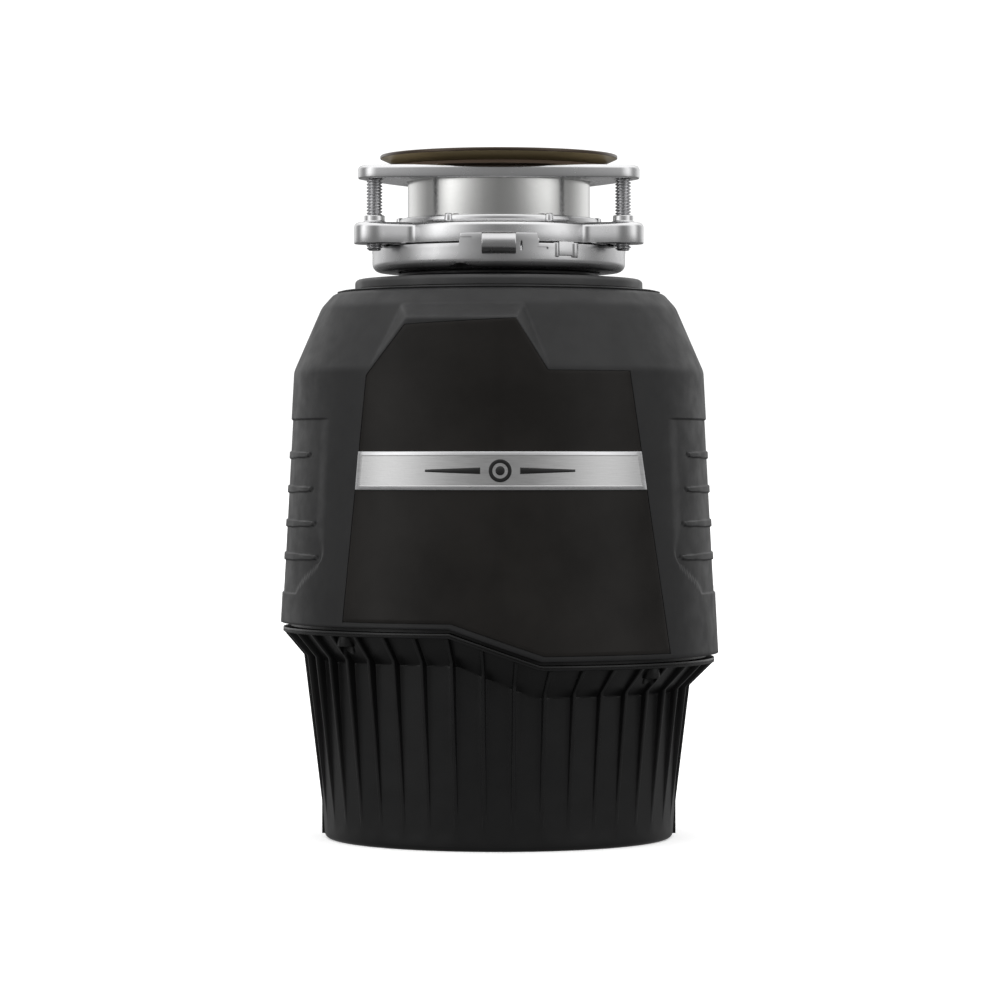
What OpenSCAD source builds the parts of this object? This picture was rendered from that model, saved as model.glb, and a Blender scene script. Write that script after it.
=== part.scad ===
// Kitchen garbage disposal with a three-bolt sink mount, 3/4 hp class.
// Millimetres. +Z is up, the front faces -Y, and the origin is on the drain axis at the base plane.

/* [Body] */
// Outer radius of the shell where the shoulder ends
shoulder_r = 97.1; // [96.8:0.1:97.6]
// Height at which the shoulder ends and the side wall begins
shoulder_z = 220.4; // [219.8:0.2:221]
// How much the side wall widens for each millimetre downwards
wall_draft = 0.053; // [0.051:0.001:0.055]
// Height of the seam between the shells on the left
seam_left_z = 102; // [101:0.5:103]
// Height of the seam between the shells on the right
seam_right_z = 87.4; // [86.5:0.1:88.5]
// Number of cooling fins round the lower shell
fin_count = 40; // [36:2:44]
// Thickness of one fin
fin_t = 1.8; // [1.4:0.1:2.2]

/* [Sink mount] */
// Outer radius of the sink flange's rim
flange_rim_r = 56.3; // [56:0.1:57]
// Inner radius of the recess that seats a stopper
stopper_r = 41.4; // [41:0.1:41.8]
// Radius at which the three mounting screws stand
screw_circle_r = 67; // [66.8:0.1:67.2]
// Radius of a mounting screw
mount_screw_r = 3.6; // [3.4:0.05:3.7]

/* [Plumbing] */
// Outer radius of the discharge tube
discharge_r = 19.05; // [18.8:0.05:19.2]
// Height of the drain outlet's axis
outlet_z = 136; // [135.8:0.1:136.2]
// Outer radius of the dishwasher inlet's nipple
inlet_r = 11.1; // [10.9:0.1:11.3]
// Height of the dishwasher inlet's axis
inlet_z = 216; // [215:0.5:217]
// Radius of the conduit hole in the terminal cover
conduit_r = 11.1; // [10.8:0.1:11.4]

/* [Motor] */
// Radius of the motor shaft
shaft_r = 6.35; // [6.2:0.05:6.4]
// Outer radius of the stator core
stator_r = 64; // [63.8:0.1:64]
// Number of stator slots
slot_count = 24; // [18:6:24]

/* [Hidden] */
$fn = 96;
far = 130;                      // reaches past every side of the body

// Mount stack
flange_top_z = 323;
neck_r = 40;
neck_outer_r = 43.2;
backup_z = 309.7;
backup_t = 6.3;
ear_low_z = 279.3;
ear_top_z = 289.4;
collar_top_z = 292.8;
running = 0.05;                 // radial play of a turning or sliding fit
ear_angles = [-30, 90, 210];    // directions of the three mounting screws
tab_angles = [-90, 30, 150];    // directions of the lock ring's three tabs and lugs

// Outer body
shell_t = 3;
shell_top_z = 259.3;
seam_gap = 1.8;
rim_h = 2.4;
rim_r = 102.2;
seam_left_x = -22.7;
seam_right_x = 19.3;
floor_t = 4;
skirt_r = 82.4;
skirt_draft = 0.065;
skirt_t = 3;
funnel_h = 13;
corner_r = 3;
shell_screw_r = 95;
shell_screw_angles = [-133, -47, 47, 133];   // measured from the front
panel_t = 0.6;
badge_t = 1;

// Grip recesses in the two sides
grip_depth = 0.7;
grip_half_angle = 38;
grip_bands = [[116, 131.5], [135.5, 147], [151, 163], [167, 179], [183, 198]];

// Openings under the base
wrench_r = 8;
reset_y = -44;
reset_r = 5;
window_y = 44;
window_size = [52, 36];
cover_size = [66, 42];
cover_t = 1.4;
cover_recess = 2.2;

// Inside
chamber_r = 66;
chamber_t = 1.6;
disc_r = 58.8;
disc_top_z = 159;
pivot_r = 40;
rivet_r = 4;
bearing_r = 11;
bolt_circle_r = 69.5;
case_screw_circle_r = 73.5;
elbow_r = 32;
elbow_y = 118;
tube_end_z = 52;
flange_bolt_x = 30;

// Outer radius of the side wall at height z
function wall_r(z) = shoulder_r + wall_draft * (shoulder_z - z);
// Outer radius of the lower skirt at height z
function skirt(z) = skirt_r + skirt_draft * z;
// Height of the seam at x: level on each side, sloping across the front and back
function seam(x) = x < seam_left_x ? seam_left_z : x > seam_right_x ? seam_right_z
    : seam_left_z + (seam_right_z - seam_left_z) * (x - seam_left_x) / (seam_right_x - seam_left_x);
// Points of an arc about [cx, cy], from angle a0 to a1
function arc(cx, cy, r, a0, a1, steps = 5) =
    [for (i = [0:steps]) let (a = a0 + (a1 - a0) * i / steps) [cx + r * cos(a), cy + r * sin(a)]];

// Outline of a disc with a rounded corner at each of the three ear angles, joined by tangents
function three_lobed(big_r, small_r, d) =
    let (turn = acos((big_r - small_r) / d))
    [for (a = ear_angles) each concat(
        [for (p = arc(0, 0, big_r, a - 60, a - turn, 4)) p],
        [for (p = arc(d * cos(a), d * sin(a), small_r, a - turn, a + turn, 12)) p],
        [for (p = arc(0, 0, big_r, a + turn, a + 59.9, 4)) p])];

// A tube on the Z axis
module ring(outer, inner, low, high) {
    translate([0, 0, low]) difference() {
        cylinder(h = high - low, r = outer);
        translate([0, 0, -1]) cylinder(h = high - low + 2, r = inner);
    }
}

// A rod on the Z axis
module rod(r, low, high) {
    translate([0, 0, low]) cylinder(h = high - low, r = r);
}

// Turns its children from the front round to an angle, at a radius
module at(angle, r = 0) {
    rotate([0, 0, angle]) translate([r, 0, 0]) children();
}

// A horizontal prism along Y with its outline drawn in X and Z
module prism_y(points, y0, y1) {
    translate([0, y1, 0]) rotate([90, 0, 0]) linear_extrude(height = y1 - y0) polygon(points);
}

// A rod along +Y at height z
module rod_y(r, y0, y1, z, x = 0) {
    translate([x, y0, z]) rotate([-90, 0, 0]) cylinder(h = y1 - y0, r = r);
}

// Plan of a straight-sided blend from a circle at the centre to a smaller circle at distance d
module lobe(big_r, small_r, d) {
    turn = acos((big_r - small_r) / d);
    polygon([[0, 0], [big_r * cos(turn), -big_r * sin(turn)],
        [d + small_r * cos(turn), -small_r * sin(turn)],
        [d + small_r * cos(turn), small_r * sin(turn)], [big_r * cos(turn), big_r * sin(turn)]]);
    translate([d, 0]) circle(r = small_r);
}

// Everything below the seam, shifted by lift
module below_seam(lift) {
    prism_y([[-far, -1], [far, -1], [far, seam_right_z + lift], [seam_right_x, seam_right_z + lift],
        [seam_left_x, seam_left_z + lift], [-far, seam_left_z + lift]], -far, far);
}

// Everything above the seam, shifted by lift
module above_seam(lift) {
    prism_y([[-far, 150], [-far, seam_left_z + lift], [seam_left_x, seam_left_z + lift],
        [seam_right_x, seam_right_z + lift], [far, seam_right_z + lift], [far, 150]], -far, far);
}

// ---- Sink mount ----

module sink_flange() {
    color("lightgray") rotate_extrude() polygon([[neck_r, 280.6], [neck_outer_r, 280.6],
        [neck_outer_r, 282.8], [42.3, 282.8], [42.3, 285.2], [neck_outer_r, 285.2],
        [neck_outer_r, 314], [44.6, 316.4], [46.5, 317.2], [flange_rim_r, 321.6],
        [flange_rim_r, flange_top_z], [flange_rim_r - 2, flange_top_z], [stopper_r, 315.5],
        [stopper_r, 303], [neck_r, 303]]);
}

module sink_baffle() {
    color("dimgray") difference() {
        rotate_extrude() polygon([[36, 297], [39.9, 297], [39.9, 302], [36, 302], [34, 298.6],
            [26, 294.6], [13, 292.4], [13, 291], [27, 293], [34.6, 296.6]]);
        for (i = [0:7]) at(i * 45) translate([11, -0.6, 288]) cube([21, 1.2, 16]);
    }
}

module fiber_gasket() {
    color("saddlebrown") ring(53, 47.5, backup_z + backup_t, 317.4);
}

module backup_flange() {
    color("gray") difference() {
        translate([0, 0, backup_z]) linear_extrude(height = backup_t) difference() {
            polygon(three_lobed(52, 9.5, screw_circle_r));
            circle(r = 44.6);
        }
        for (a = ear_angles) at(a, screw_circle_r) rod(4.3, backup_z - 1, backup_z + 1.4);
    }
}

// One ear of the mounting ring: a hollow arm with a boss round the screw
module ear() {
    boss_r = 6.4;
    end_r = 9.7;
    wall = 2.4;
    screw_collar_r = 4.8;
    difference() {
        union() {
            translate([0, 0, ear_low_z]) linear_extrude(height = ear_top_z - ear_low_z) difference() {
                union() {
                    translate([screw_circle_r, 0]) circle(r = end_r);
                    polygon([[46, -14], [68.85, -9.52], [68.85, 9.52], [46, 14]]);
                }
                circle(r = 53.5);
            }
            translate([screw_circle_r, 0, 0]) rod(screw_collar_r, ear_top_z - 1, collar_top_z - 0.1);
        }
        difference() {
            translate([0, 0, ear_low_z - 1]) linear_extrude(height = 7.2) difference() {
                union() {
                    translate([screw_circle_r, 0]) circle(r = end_r - wall);
                    polygon([[57, -9.3], [68.4, -7.1], [68.4, 7.1], [57, 9.3]]);
                }
                circle(r = 57.4);
            }
            translate([screw_circle_r, 0, 0]) rod(boss_r, ear_low_z - 2, ear_top_z);
        }
        translate([screw_circle_r, 0, 0]) rod(mount_screw_r + running, 270, 300);
    }
}

module mounting_ring() {
    color("silver") union() {
        ring(55, 44.4, 285.2, ear_top_z);
        ring(55, 52.5, ear_low_z, 285.3);
        ring(47, 44.4, ear_top_z - 0.5, collar_top_z);
        for (a = ear_angles) at(a) ear();
        for (i = [0:5]) at(30 + i * 60, 46.8) rod(1.6, ear_top_z - 0.5, collar_top_z + 0.6);
        for (a = tab_angles) rotate([0, 0, a + 9]) rotate_extrude(angle = 10)
            translate([54.5, ear_low_z]) square([2.9, 1.7]);
    }
}

module snap_ring() {
    color("darkgray") rotate_extrude(angle = 338, start = 101)
        translate([43.5, 284]) circle(r = 1.1, $fn = 24);
}

// One mounting screw with its slot at the lower end
module mount_screw() {
    color("silver") difference() {
        rod(mount_screw_r, 276.3, backup_z + 1);
        translate([-5, -0.6, 276]) cube([10, 1.2, 3.1]);
    }
}

module mount_screw_left() {
    at(ear_angles[2], screw_circle_r) mount_screw();
}

module mount_screw_right() {
    at(ear_angles[0], screw_circle_r) mount_screw();
}

module mount_screw_rear() {
    at(ear_angles[1], screw_circle_r) mount_screw();
}

// A tangential tube on the lock ring that takes a wrench
module lock_lug() {
    translate([60.8, 0, 278.7]) rotate([90, 0, 0]) cylinder(h = 16, r = 5.2, center = true);
}

module lock_ring() {
    outer = 60;
    inner = 57.8;
    wall_top = 278.8;
    tab_top = 283.5;
    color("darkgray") difference() {
        union() {
            difference() {
                rotate_extrude() polygon(concat([[48, 267.5]], arc(outer - 4, 271.5, 4, -90, 0),
                    [[outer, tab_top], [inner, tab_top], [inner, 272.4], [56.2, 269.7], [48, 269.7]]));
                for (a = tab_angles) rotate([0, 0, a + 18]) rotate_extrude(angle = 84)
                    translate([inner - 2, wall_top]) square([6, 8]);
            }
            for (a = tab_angles) {
                rotate([0, 0, a + 10]) rotate_extrude(angle = 7)
                    translate([55.4, 281.3]) square([3.4, 1.9]);
                rotate([0, 0, a]) intersection() {
                    lock_lug();
                    ring(80, 58.6, 270, 290);
                }
            }
            rotate([0, 0, -62]) rotate_extrude(angle = 12)
                translate([59, 272.5]) square([1.8, 7.5]);
        }
        for (a = tab_angles) rotate([0, 0, a]) translate([60.8, 0, 278.7]) rotate([90, 0, 0])
            cylinder(h = 30, r = 3, center = true);
        rotate([0, 0, -109]) prism_x([[-4.6, 266], [4.6, 266], [0, 273]], 50, 70);
    }
}

// A horizontal prism along X with its outline drawn in Y and Z
module prism_x(points, x0, x1) {
    translate([x0, 0, 0]) rotate([90, 0, 90]) linear_extrude(height = x1 - x0) polygon(points);
}

module mounting_gasket() {
    color("black") rotate_extrude() polygon([[38, 266.4], [44.3, 266.4], [44.3, 259.5], [46, 259.5],
        [46, 264.5], [46.6, 265.3], [46, 266.2], [46.6, 267.4], [46, 268.6], [46, 270.3], [54, 270.3],
        [54, 278.8], [43.5, 278.8], [43.5, 280.6], [38, 280.6]]);
}

// ---- Outer body ----

module top_cap() {
    outer = 68.2;
    color("dimgray") rotate_extrude() polygon(concat([[46.9, shell_top_z], [outer, shell_top_z]],
        arc(outer - 3, 261, 3, 0, 90), [[46.9, 264]]));
}

// The block raised from the front of the shoulder, its face flush with the wall
module dormer() {
    low = 216;
    high = 262;
    near = -115;
    back = -60;
    function right_x(z, y) = 22.5 - 0.644 * (z - 220) + 0.667 * (y + 95.6);
    function left_x(z, y) = -60 + 0.7725 * (z - 220) - 0.45 * (y + 76.3 + 0.425 * (z - 220));
    corners = [for (z = [low, high], y = [near, back]) each [[left_x(z, y), y, z], [right_x(z, y), y, z]]];
    intersection() {
        polyhedron(points = corners, faces = [[0, 1, 3, 2], [4, 6, 7, 5], [0, 4, 5, 1],
            [2, 3, 7, 6], [0, 2, 6, 4], [1, 5, 7, 3]]);
        rotate_extrude() polygon([[79, 218], [wall_r(218) - 0.3, 218], [wall_r(243.3), 243.3],
            [84.6, 250.2], [79, 250.2]]);
    }
}

// Outline of the front panel, seen from the front
module panel_prism() {
    prism_y([[-71.3, 104.6], [-21.6, 104.6], [20.6, 90], [78.6, 90], [59.8, 219.2], [22.3, 219.2],
        [7.6, 242.8], [-42.8, 240.2], [-60.4, 217.3]], -far, -30);
}

// The layer between two offsets from the wall, inside the outline of its children
module wall_layer(inside, outside, low = 80, high = 243) {
    intersection() {
        children();
        rotate_extrude() polygon([[wall_r(low) + inside, low], [wall_r(low) + outside, low],
            [wall_r(high) + outside, high], [wall_r(high) + inside, high]]);
    }
}

// A boss inside the wall that takes a screw from below
module shell_boss(angle) {
    z = seam(shell_screw_r * sin(angle)) - seam_gap;
    rotate([0, 0, angle - 90]) translate([shell_screw_r, 0, 0]) {
        rod(4, z, z + 14);
        translate([0, -1.5, z + 3]) cube([7.2, 3, 11]);
    }
}

module upper_shell() {
    low = 80;
    color([0.22, 0.22, 0.23]) difference() {
        union() {
            difference() {
                rotate_extrude() polygon([[62, shell_top_z], [70, 259], [77.8, 257.5], [84, 250.6],
                    [shoulder_r, shoulder_z], [wall_r(low), low], [wall_r(low) - shell_t, low],
                    [shoulder_r - shell_t, shoulder_z - 1], [81, 249.8], [75.9, 255], [69, 256.2],
                    [62, 256.3]]);
                below_seam(0);
            }
            dormer();
            for (a = shell_screw_angles) shell_boss(a);
        }
        wall_layer(-panel_t, 4) panel_prism();
        for (side = [0, 180], band = grip_bands)
            rotate([0, 0, side - grip_half_angle]) rotate_extrude(angle = 2 * grip_half_angle)
                polygon([[wall_r(band[0]) - grip_depth, band[0]], [110, band[0]],
                    [110, band[1]], [wall_r(band[1]) - grip_depth, band[1]]]);
        for (a = shell_screw_angles) rotate([0, 0, a - 90]) translate([shell_screw_r, 0, 0])
            rod(1.8, seam_right_z - 10, seam(shell_screw_r * sin(a)) + 9);
        rod_y(inlet_r + 2.4, 60, far, inlet_z);
        rod_y(27, 60, far, outlet_z);
        for (x = [-flange_bolt_x, flange_bolt_x]) rod_y(11, 60, far, outlet_z, x);
        translate([-flange_bolt_x, 60, outlet_z - 10.6]) cube([2 * flange_bolt_x, 70, 21.2]);
    }
}

module front_panel() {
    color([0.1, 0.1, 0.1]) wall_layer(-panel_t, 0) panel_prism();
}

module badge_plate() {
    color("silver") wall_layer(0, badge_t)
        prism_y([[-65.6, 165], [67.7, 165], [65.2, 182.4], [-64.2, 182.4]], -far, -30);
}

module upper_insulation() {
    color("ivory") rotate_extrude(angle = 330, start = 105)
        polygon([[70, 168], [88, 168], [88, 214], [85, 217], [70, 217]]);
}

// One fin, from the rim down the skirt to where it fades out
module fin(angle) {
    top = seam(rim_r * sin(angle)) - seam_gap - rim_h;
    corner_z = top - 11;
    rotate([0, 0, angle - 90]) rotate([90, 0, 0]) linear_extrude(height = fin_t, center = true)
        polygon([[skirt(5) - 1.5, 5], [skirt(5) - 0.2, 5], [83.5 + 0.127 * (corner_z - 17), corner_z],
            [rim_r - 0.3, top], [rim_r - 0.3, top + 1], [97, top + 1],
            [skirt(top - funnel_h) - 1.5, top - funnel_h]]);
}

// Children on one side of the plane where the flare steps from its low to its high level
module side_of_step(x0, x1) {
    intersection() {
        children();
        translate([x0, -far, 0]) cube([x1 - x0, 2 * far, 150]);
    }
}

// A rib low on the side, where the mould parted
module parting_rib() {
    translate([80, -fin_t / 2, 1.5]) cube([4.1, fin_t, 20]);
}

module lower_shell() {
    step_x = (seam_left_x + seam_right_x) / 2;
    high = seam_left_z - seam_gap - rim_h;
    low = seam_right_z - seam_gap - rim_h;
    lip_r = 98.5;
    lip_t = 3;
    lip_h = 2.5;
    high_foot = high - funnel_h;
    low_foot = low - funnel_h;
    high_slope = funnel_h / (lip_r - skirt(high_foot));
    low_slope = (funnel_h - 1.5) / (lip_r - skirt(low_foot));
    color([0.12, 0.12, 0.12]) difference() {
        union() {
            difference() {
                rotate_extrude() polygon(concat([[0, 0]],
                    arc(skirt_r - corner_r, corner_r, corner_r, -90, 0),
                    [[skirt(low_foot), low_foot], [lip_r, low], [lip_r, high + 8], [lip_r - 2.5, high + 8],
                    [lip_r - lip_t, high], [skirt(high_foot) - skirt_t, high_foot + 1.5],
                    [skirt_r - skirt_t, floor_t], [0, floor_t]]));
                side_of_step(-far, step_x) rotate_extrude() polygon([
                    [skirt(low_foot - 4) + 0.3, low_foot - 4], [skirt(high_foot), high_foot],
                    [lip_r + 2, high + 2 * high_slope], [far, high + 2 * high_slope], [far, low_foot - 4]]);
                side_of_step(step_x + skirt_t, far) rotate_extrude() polygon([
                    [78, low - (lip_r - lip_t - 78) * low_slope], [lip_r - lip_t, low],
                    [lip_r - lip_t, 120], [78, 120]]);
                above_seam(lip_h);
                for (a = shell_screw_angles) rotate([0, 0, a - 90]) translate([shell_screw_r, 0, 0])
                    rod(6.6, seam(shell_screw_r * sin(a)) - seam_gap - 0.4, 115);
            }
            difference() {
                ring(rim_r, lip_r - 2, 75, 104);
                below_seam(-seam_gap - rim_h);
                above_seam(-seam_gap);
            }
            for (i = [0:fin_count - 1]) fin((i + 0.5) * 360 / fin_count);
            for (side = [0, 180]) rotate([0, 0, side]) parting_rib();
            for (a = shell_screw_angles) rotate([0, 0, a - 90]) translate([shell_screw_r, 0, 0])
                rod(4.6, seam(shell_screw_r * sin(a)) - 9.5, seam(shell_screw_r * sin(a)) - seam_gap - 0.1);
        }
        for (a = shell_screw_angles) rotate([0, 0, a - 90]) translate([shell_screw_r, 0, 0]) {
            rod(1.8, 60, 115);
            rod(3.6, 60, seam(shell_screw_r * sin(a)) - seam_gap - 4);
        }
        rod(wrench_r, -1, 10);
        translate([0, reset_y, 0]) rod(reset_r, -1, 10);
        translate([-window_size[0] / 2, window_y - window_size[1] / 2, -1])
            cube([window_size[0], window_size[1], 10]);
        translate([-cover_size[0] / 2 - 0.3, window_y - cover_size[1] / 2 - 0.3, -1])
            cube([cover_size[0] + 0.6, cover_size[1] + 0.6, cover_recess + 1]);
        for (x = [-29.5, 29.5]) translate([x, window_y, 0]) rod(1.6, -1, 10);
        translate([46, 34, 0]) rod(5, -1, 2);
        translate([46, 34, 0]) rod(2, -1, 10);
    }
}

module shell_screws() {
    color("dimgray") for (a = shell_screw_angles) rotate([0, 0, a - 90])
        translate([shell_screw_r, 0, 0]) union() {
            z = seam(shell_screw_r * sin(a)) - seam_gap;
            rod(3.4, z - 6.5, z - 4);
            rod(1.75, z - 5, z + 9);
        }
}

// ---- Grinding chamber ----

module grind_container() {
    outer = chamber_r + chamber_t;
    color("slategray") difference() {
        rotate_extrude() polygon([[chamber_r, 162], [78, 162], [78, 164], [outer, 164], [outer, 240],
            [44.2, 256], [44.2, 266.2], [42.6, 266.2], [42.6, 255], [chamber_r, 239]]);
        rod_y(9.3, 40, 90, inlet_z);
        for (i = [0:5]) at(i * 60, case_screw_circle_r) rod(2, 150, 170);
    }
}

module container_seal() {
    color("black") difference() {
        ring(78, chamber_r, 160.5, 162);
        for (i = [0:5]) at(i * 60, case_screw_circle_r) rod(2, 150, 170);
    }
}

module dishwasher_inlet() {
    color("dimgray") difference() {
        union() {
            rod_y(13, 60, 99, inlet_z);
            rod_y(inlet_r, 98, 121, inlet_z);
        }
        rod_y(9.3, 50, 130, inlet_z);
        rod(chamber_r + chamber_t, 190, 240);
    }
}

module inlet_seal() {
    color("black") difference() {
        rod_y(17, 82, 87.5, inlet_z);
        rod_y(13, 80, 90, inlet_z);
    }
}

module inlet_plug() {
    color("dimgray") rod_y(9.2, 100, 102, inlet_z);
}

module grind_ring() {
    color("silver") difference() {
        ring(65.8, 60, 153.5, 180);
        for (i = [0:11]) at(i * 30) translate([58, -3, 153]) cube([4.4, 6, 14]);
    }
}

module turntable() {
    color("silver") difference() {
        union() {
            rod(disc_r, disc_top_z - 3, disc_top_z);
            rod(12, 142, 157);
        }
        rod(shaft_r + running, 140, 165);
        for (x = [-pivot_r, pivot_r]) translate([x, 0, 0]) rod(rivet_r, 150, 165);
        for (a = [55, 125, 235, 305], r = [24, 34, 44]) at(a, r) rod(2.2, 150, 165);
    }
}

// A swivelling impeller lug: a flat foot on the rivet with a raised nose
module impeller() {
    low = disc_top_z + 0.3;
    color("silver") difference() {
        union() {
            rod(9, low, low + 3.4);
            translate([0, -5.5, low]) cube([12, 11, 7]);
            translate([12, 0, 0]) rod(5.5, low, low + 7);
        }
        rod(rivet_r + running, low - 1, low + 10);
        translate([0, 0, low + 3.4]) rod(7.4, 0, 10);
    }
}

module impeller_a() {
    translate([pivot_r, 0, 0]) impeller();
}

module impeller_b() {
    rotate([0, 0, 180]) translate([pivot_r, 0, 0]) impeller();
}

// The rivet that an impeller swivels on
module impeller_rivet() {
    color("darkgray") union() {
        rod(6.2, disc_top_z - 5, disc_top_z - 3);
        rod(rivet_r, disc_top_z - 4, 166);
        rod(6, 163.2, 165);
    }
}

module impeller_rivet_a() {
    translate([pivot_r, 0, 0]) impeller_rivet();
}

module impeller_rivet_b() {
    translate([-pivot_r, 0, 0]) impeller_rivet();
}

module turntable_nut() {
    color("silver") difference() {
        translate([0, 0, disc_top_z]) cylinder(h = 6.5, r = 11, $fn = 6);
        rod(shaft_r + running, 150, 170);
    }
}

// ---- Drain housing ----

// Flat oval with two bolt lobes, along Y
module oval(y0, y1, centre_r, hole_r, bolt_hole_r) {
    translate([0, y1, outlet_z]) rotate([90, 0, 0]) linear_extrude(height = y1 - y0) difference() {
        for (a = [0, 180]) rotate(a) union() {
            circle(r = centre_r);
            lobe(centre_r, 8, flange_bolt_x);
        }
        circle(r = hole_r);
        for (x = [-flange_bolt_x, flange_bolt_x]) translate([x, 0]) circle(r = bolt_hole_r);
    }
}

module drain_housing() {
    outlet_bore = 16.5;
    color("gray") difference() {
        union() {
            ring(stator_r, 61, 100, 118);
            rod(69, 116, 120);
            ring(69, 65.9, 118, 160.5);
            ring(78, 65.9, 156, 160.5);
            rod(16, 108, 134.5);
            for (i = [0:3]) at(45 + i * 90, bolt_circle_r) rod(6.5, 106, 117);
            rod_y(20, 58, 100, outlet_z);
            oval(99, 104, 24, 1, 2.9);
        }
        rod(bearing_r + 0.05, 100, 140);
        difference() {
            rod(65.9, 120, 170);
            rod(16, 110, 134.5);
        }
        rod_y(outlet_bore, 40, 110, outlet_z);
        for (i = [0:3]) at(45 + i * 90, bolt_circle_r) rod(2.6, 100, 115);
        for (i = [0:5]) at(i * 60, case_screw_circle_r) rod(2, 150, 170);
    }
}

module housing_screws() {
    color("silver") for (i = [0:5]) at(i * 60, case_screw_circle_r) union() {
        rod(1.95, 152, 164.5);
        rod(3.6, 164, 167);
    }
}

module shaft_seal() {
    color("black") rotate_extrude() polygon([[shaft_r + 0.3, 131], [9, 128], [bearing_r, 128],
        [bearing_r, 134], [shaft_r + 0.3, 134]]);
}

module water_slinger() {
    color("dimgray") rotate_extrude() polygon([[shaft_r + running, 136], [15, 135.2], [15, 136.4],
        [9, 138], [9, 141], [shaft_r + running, 141]]);
}

// ---- Motor ----

module upper_bearing() {
    color("peru") ring(bearing_r, shaft_r + running, 108, 126);
}

module thrust_washer() {
    color("silver") ring(9.5, shaft_r + running, 106.2, 107.6);
}

module motor_shaft() {
    color("silver") difference() {
        rod(shaft_r, 22, 168);
        translate([0, 0, 21]) cylinder(h = 10, r = 3.75, $fn = 6);
    }
}

module rotor_core() {
    color("gray") ring(31.5, shaft_r + running, 60, 100);
}

module rotor_end_rings() {
    color("lightgray") for (low = [54, 100]) union() {
        ring(30, 20, low, low + 6);
    }
}

module stator_core() {
    color("slategray") translate([0, 0, 60]) linear_extrude(height = 40) difference() {
        circle(r = stator_r);
        circle(r = 32.2);
        for (i = [0:slot_count - 1]) rotate(i * 360 / slot_count)
            polygon([[31, -0.9], [34, -0.9], [36, -2.2], [52, -4], [52, 4], [36, 2.2], [34, 0.9], [31, 0.9]]);
    }
}

// One rounded bundle of end turns
module winding(low, high) {
    mid = 45;
    half_w = 9;
    round_r = 5;
    color("peru") rotate_extrude() polygon(concat(
        arc(mid + half_w - round_r, low + round_r, round_r, -90, 0),
        arc(mid + half_w - round_r, high - round_r, round_r, 0, 90),
        arc(mid - half_w + round_r, high - round_r, round_r, 90, 180),
        arc(mid - half_w + round_r, low + round_r, round_r, 180, 270)));
}

module upper_winding() {
    winding(100.3, 114);
}

module lower_winding() {
    winding(43, 59.7);
}

module lower_bearing() {
    color("peru") ring(bearing_r, shaft_r + running, 31, 45);
}

module lower_end_frame() {
    color("silver") difference() {
        union() {
            rod(stator_r, 28, 31);
            ring(stator_r, 61, 30, 60);
            rod(15, 30, 45);
            for (i = [0:3]) at(45 + i * 90, bolt_circle_r) rod(6.5, 52, 60);
        }
        rod(61, 52, 61);
        rod(bearing_r + 0.05, 31, 50);
        rod(wrench_r, 20, 40);
        for (i = [0:3]) at(45 + i * 90, bolt_circle_r) rod(2.6, 50, 62);
        for (i = [0:7]) at(22.5 + i * 45, 38) rod(7, 20, 40);
    }
}

module through_bolts() {
    color("silver") for (i = [0:3]) at(45 + i * 90, bolt_circle_r) union() {
        rod(2.5, 48, 114);
        translate([0, 0, 47.5]) cylinder(h = 4.5, r = 4.8, $fn = 6);
    }
}

module start_relay() {
    color("ivory") union() {
        translate([15, -52, floor_t]) cube([24, 20, 20]);
        translate([20, -47, floor_t + 20]) cube([14, 10, 2.5]);
    }
}

module overload_protector() {
    color([0.5, 0.1, 0.08]) difference() {
        translate([-12, reset_y - 9, 8]) cube([24, 18, 19.5]);
        translate([0, reset_y, 0]) rod(4.8, 7, 17);
    }
}

module reset_button() {
    color("firebrick") translate([0, reset_y, 0]) union() {
        rod(4.5, 1, 12);
        rod(2, 11, 13.5);
    }
}

module terminal_box() {
    color("silver") difference() {
        translate([-34, 22, floor_t]) cube([68, 44, 22]);
        translate([-32.8, 23.2, floor_t - 1]) cube([65.6, 41.6, 21.8]);
    }
}

module terminal_cover() {
    color("silver") difference() {
        translate([-cover_size[0] / 2, window_y - cover_size[1] / 2, cover_recess - cover_t])
            cube([cover_size[0], cover_size[1], cover_t]);
        translate([-12, window_y, 0]) rod(conduit_r, -1, 5);
        for (x = [-29.5, 29.5]) translate([x, window_y, 0]) rod(1.6, -1, 10);
    }
}

module terminal_screws() {
    color("silver") for (x = [-29.5, 29.5]) translate([x, window_y, 0]) union() {
        rod(1.55, 0.5, 7);
        rod(2.9, 0.1, cover_recess - cover_t);
    }
}

module ground_screw() {
    color("green") translate([46, 34, 0]) union() {
        rod(1.95, 1, 9);
        rod(4.2, 0.2, 2);
    }
}

module motor_leads() {
    color("navy") for (x = [20, 26, 32]) rod_y(1.3, -32, 22, 18, x);
}

// ---- Discharge ----

module discharge_gasket() {
    color("black") translate([0, 107, outlet_z]) rotate([90, 0, 0]) ring(23, 17, 0, 3);
}

module discharge_flange() {
    color("silver") oval(109.5, 112.5, 24, discharge_r + 0.3, 3.1);
}

module discharge_bolts() {
    color("silver") for (x = [-flange_bolt_x, flange_bolt_x]) union() {
        rod_y(2.8, 97, 113, outlet_z, x);
        translate([x, 112.5, outlet_z]) rotate([-90, 0, 0]) cylinder(h = 4, r = 5, $fn = 6);
    }
}

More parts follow.
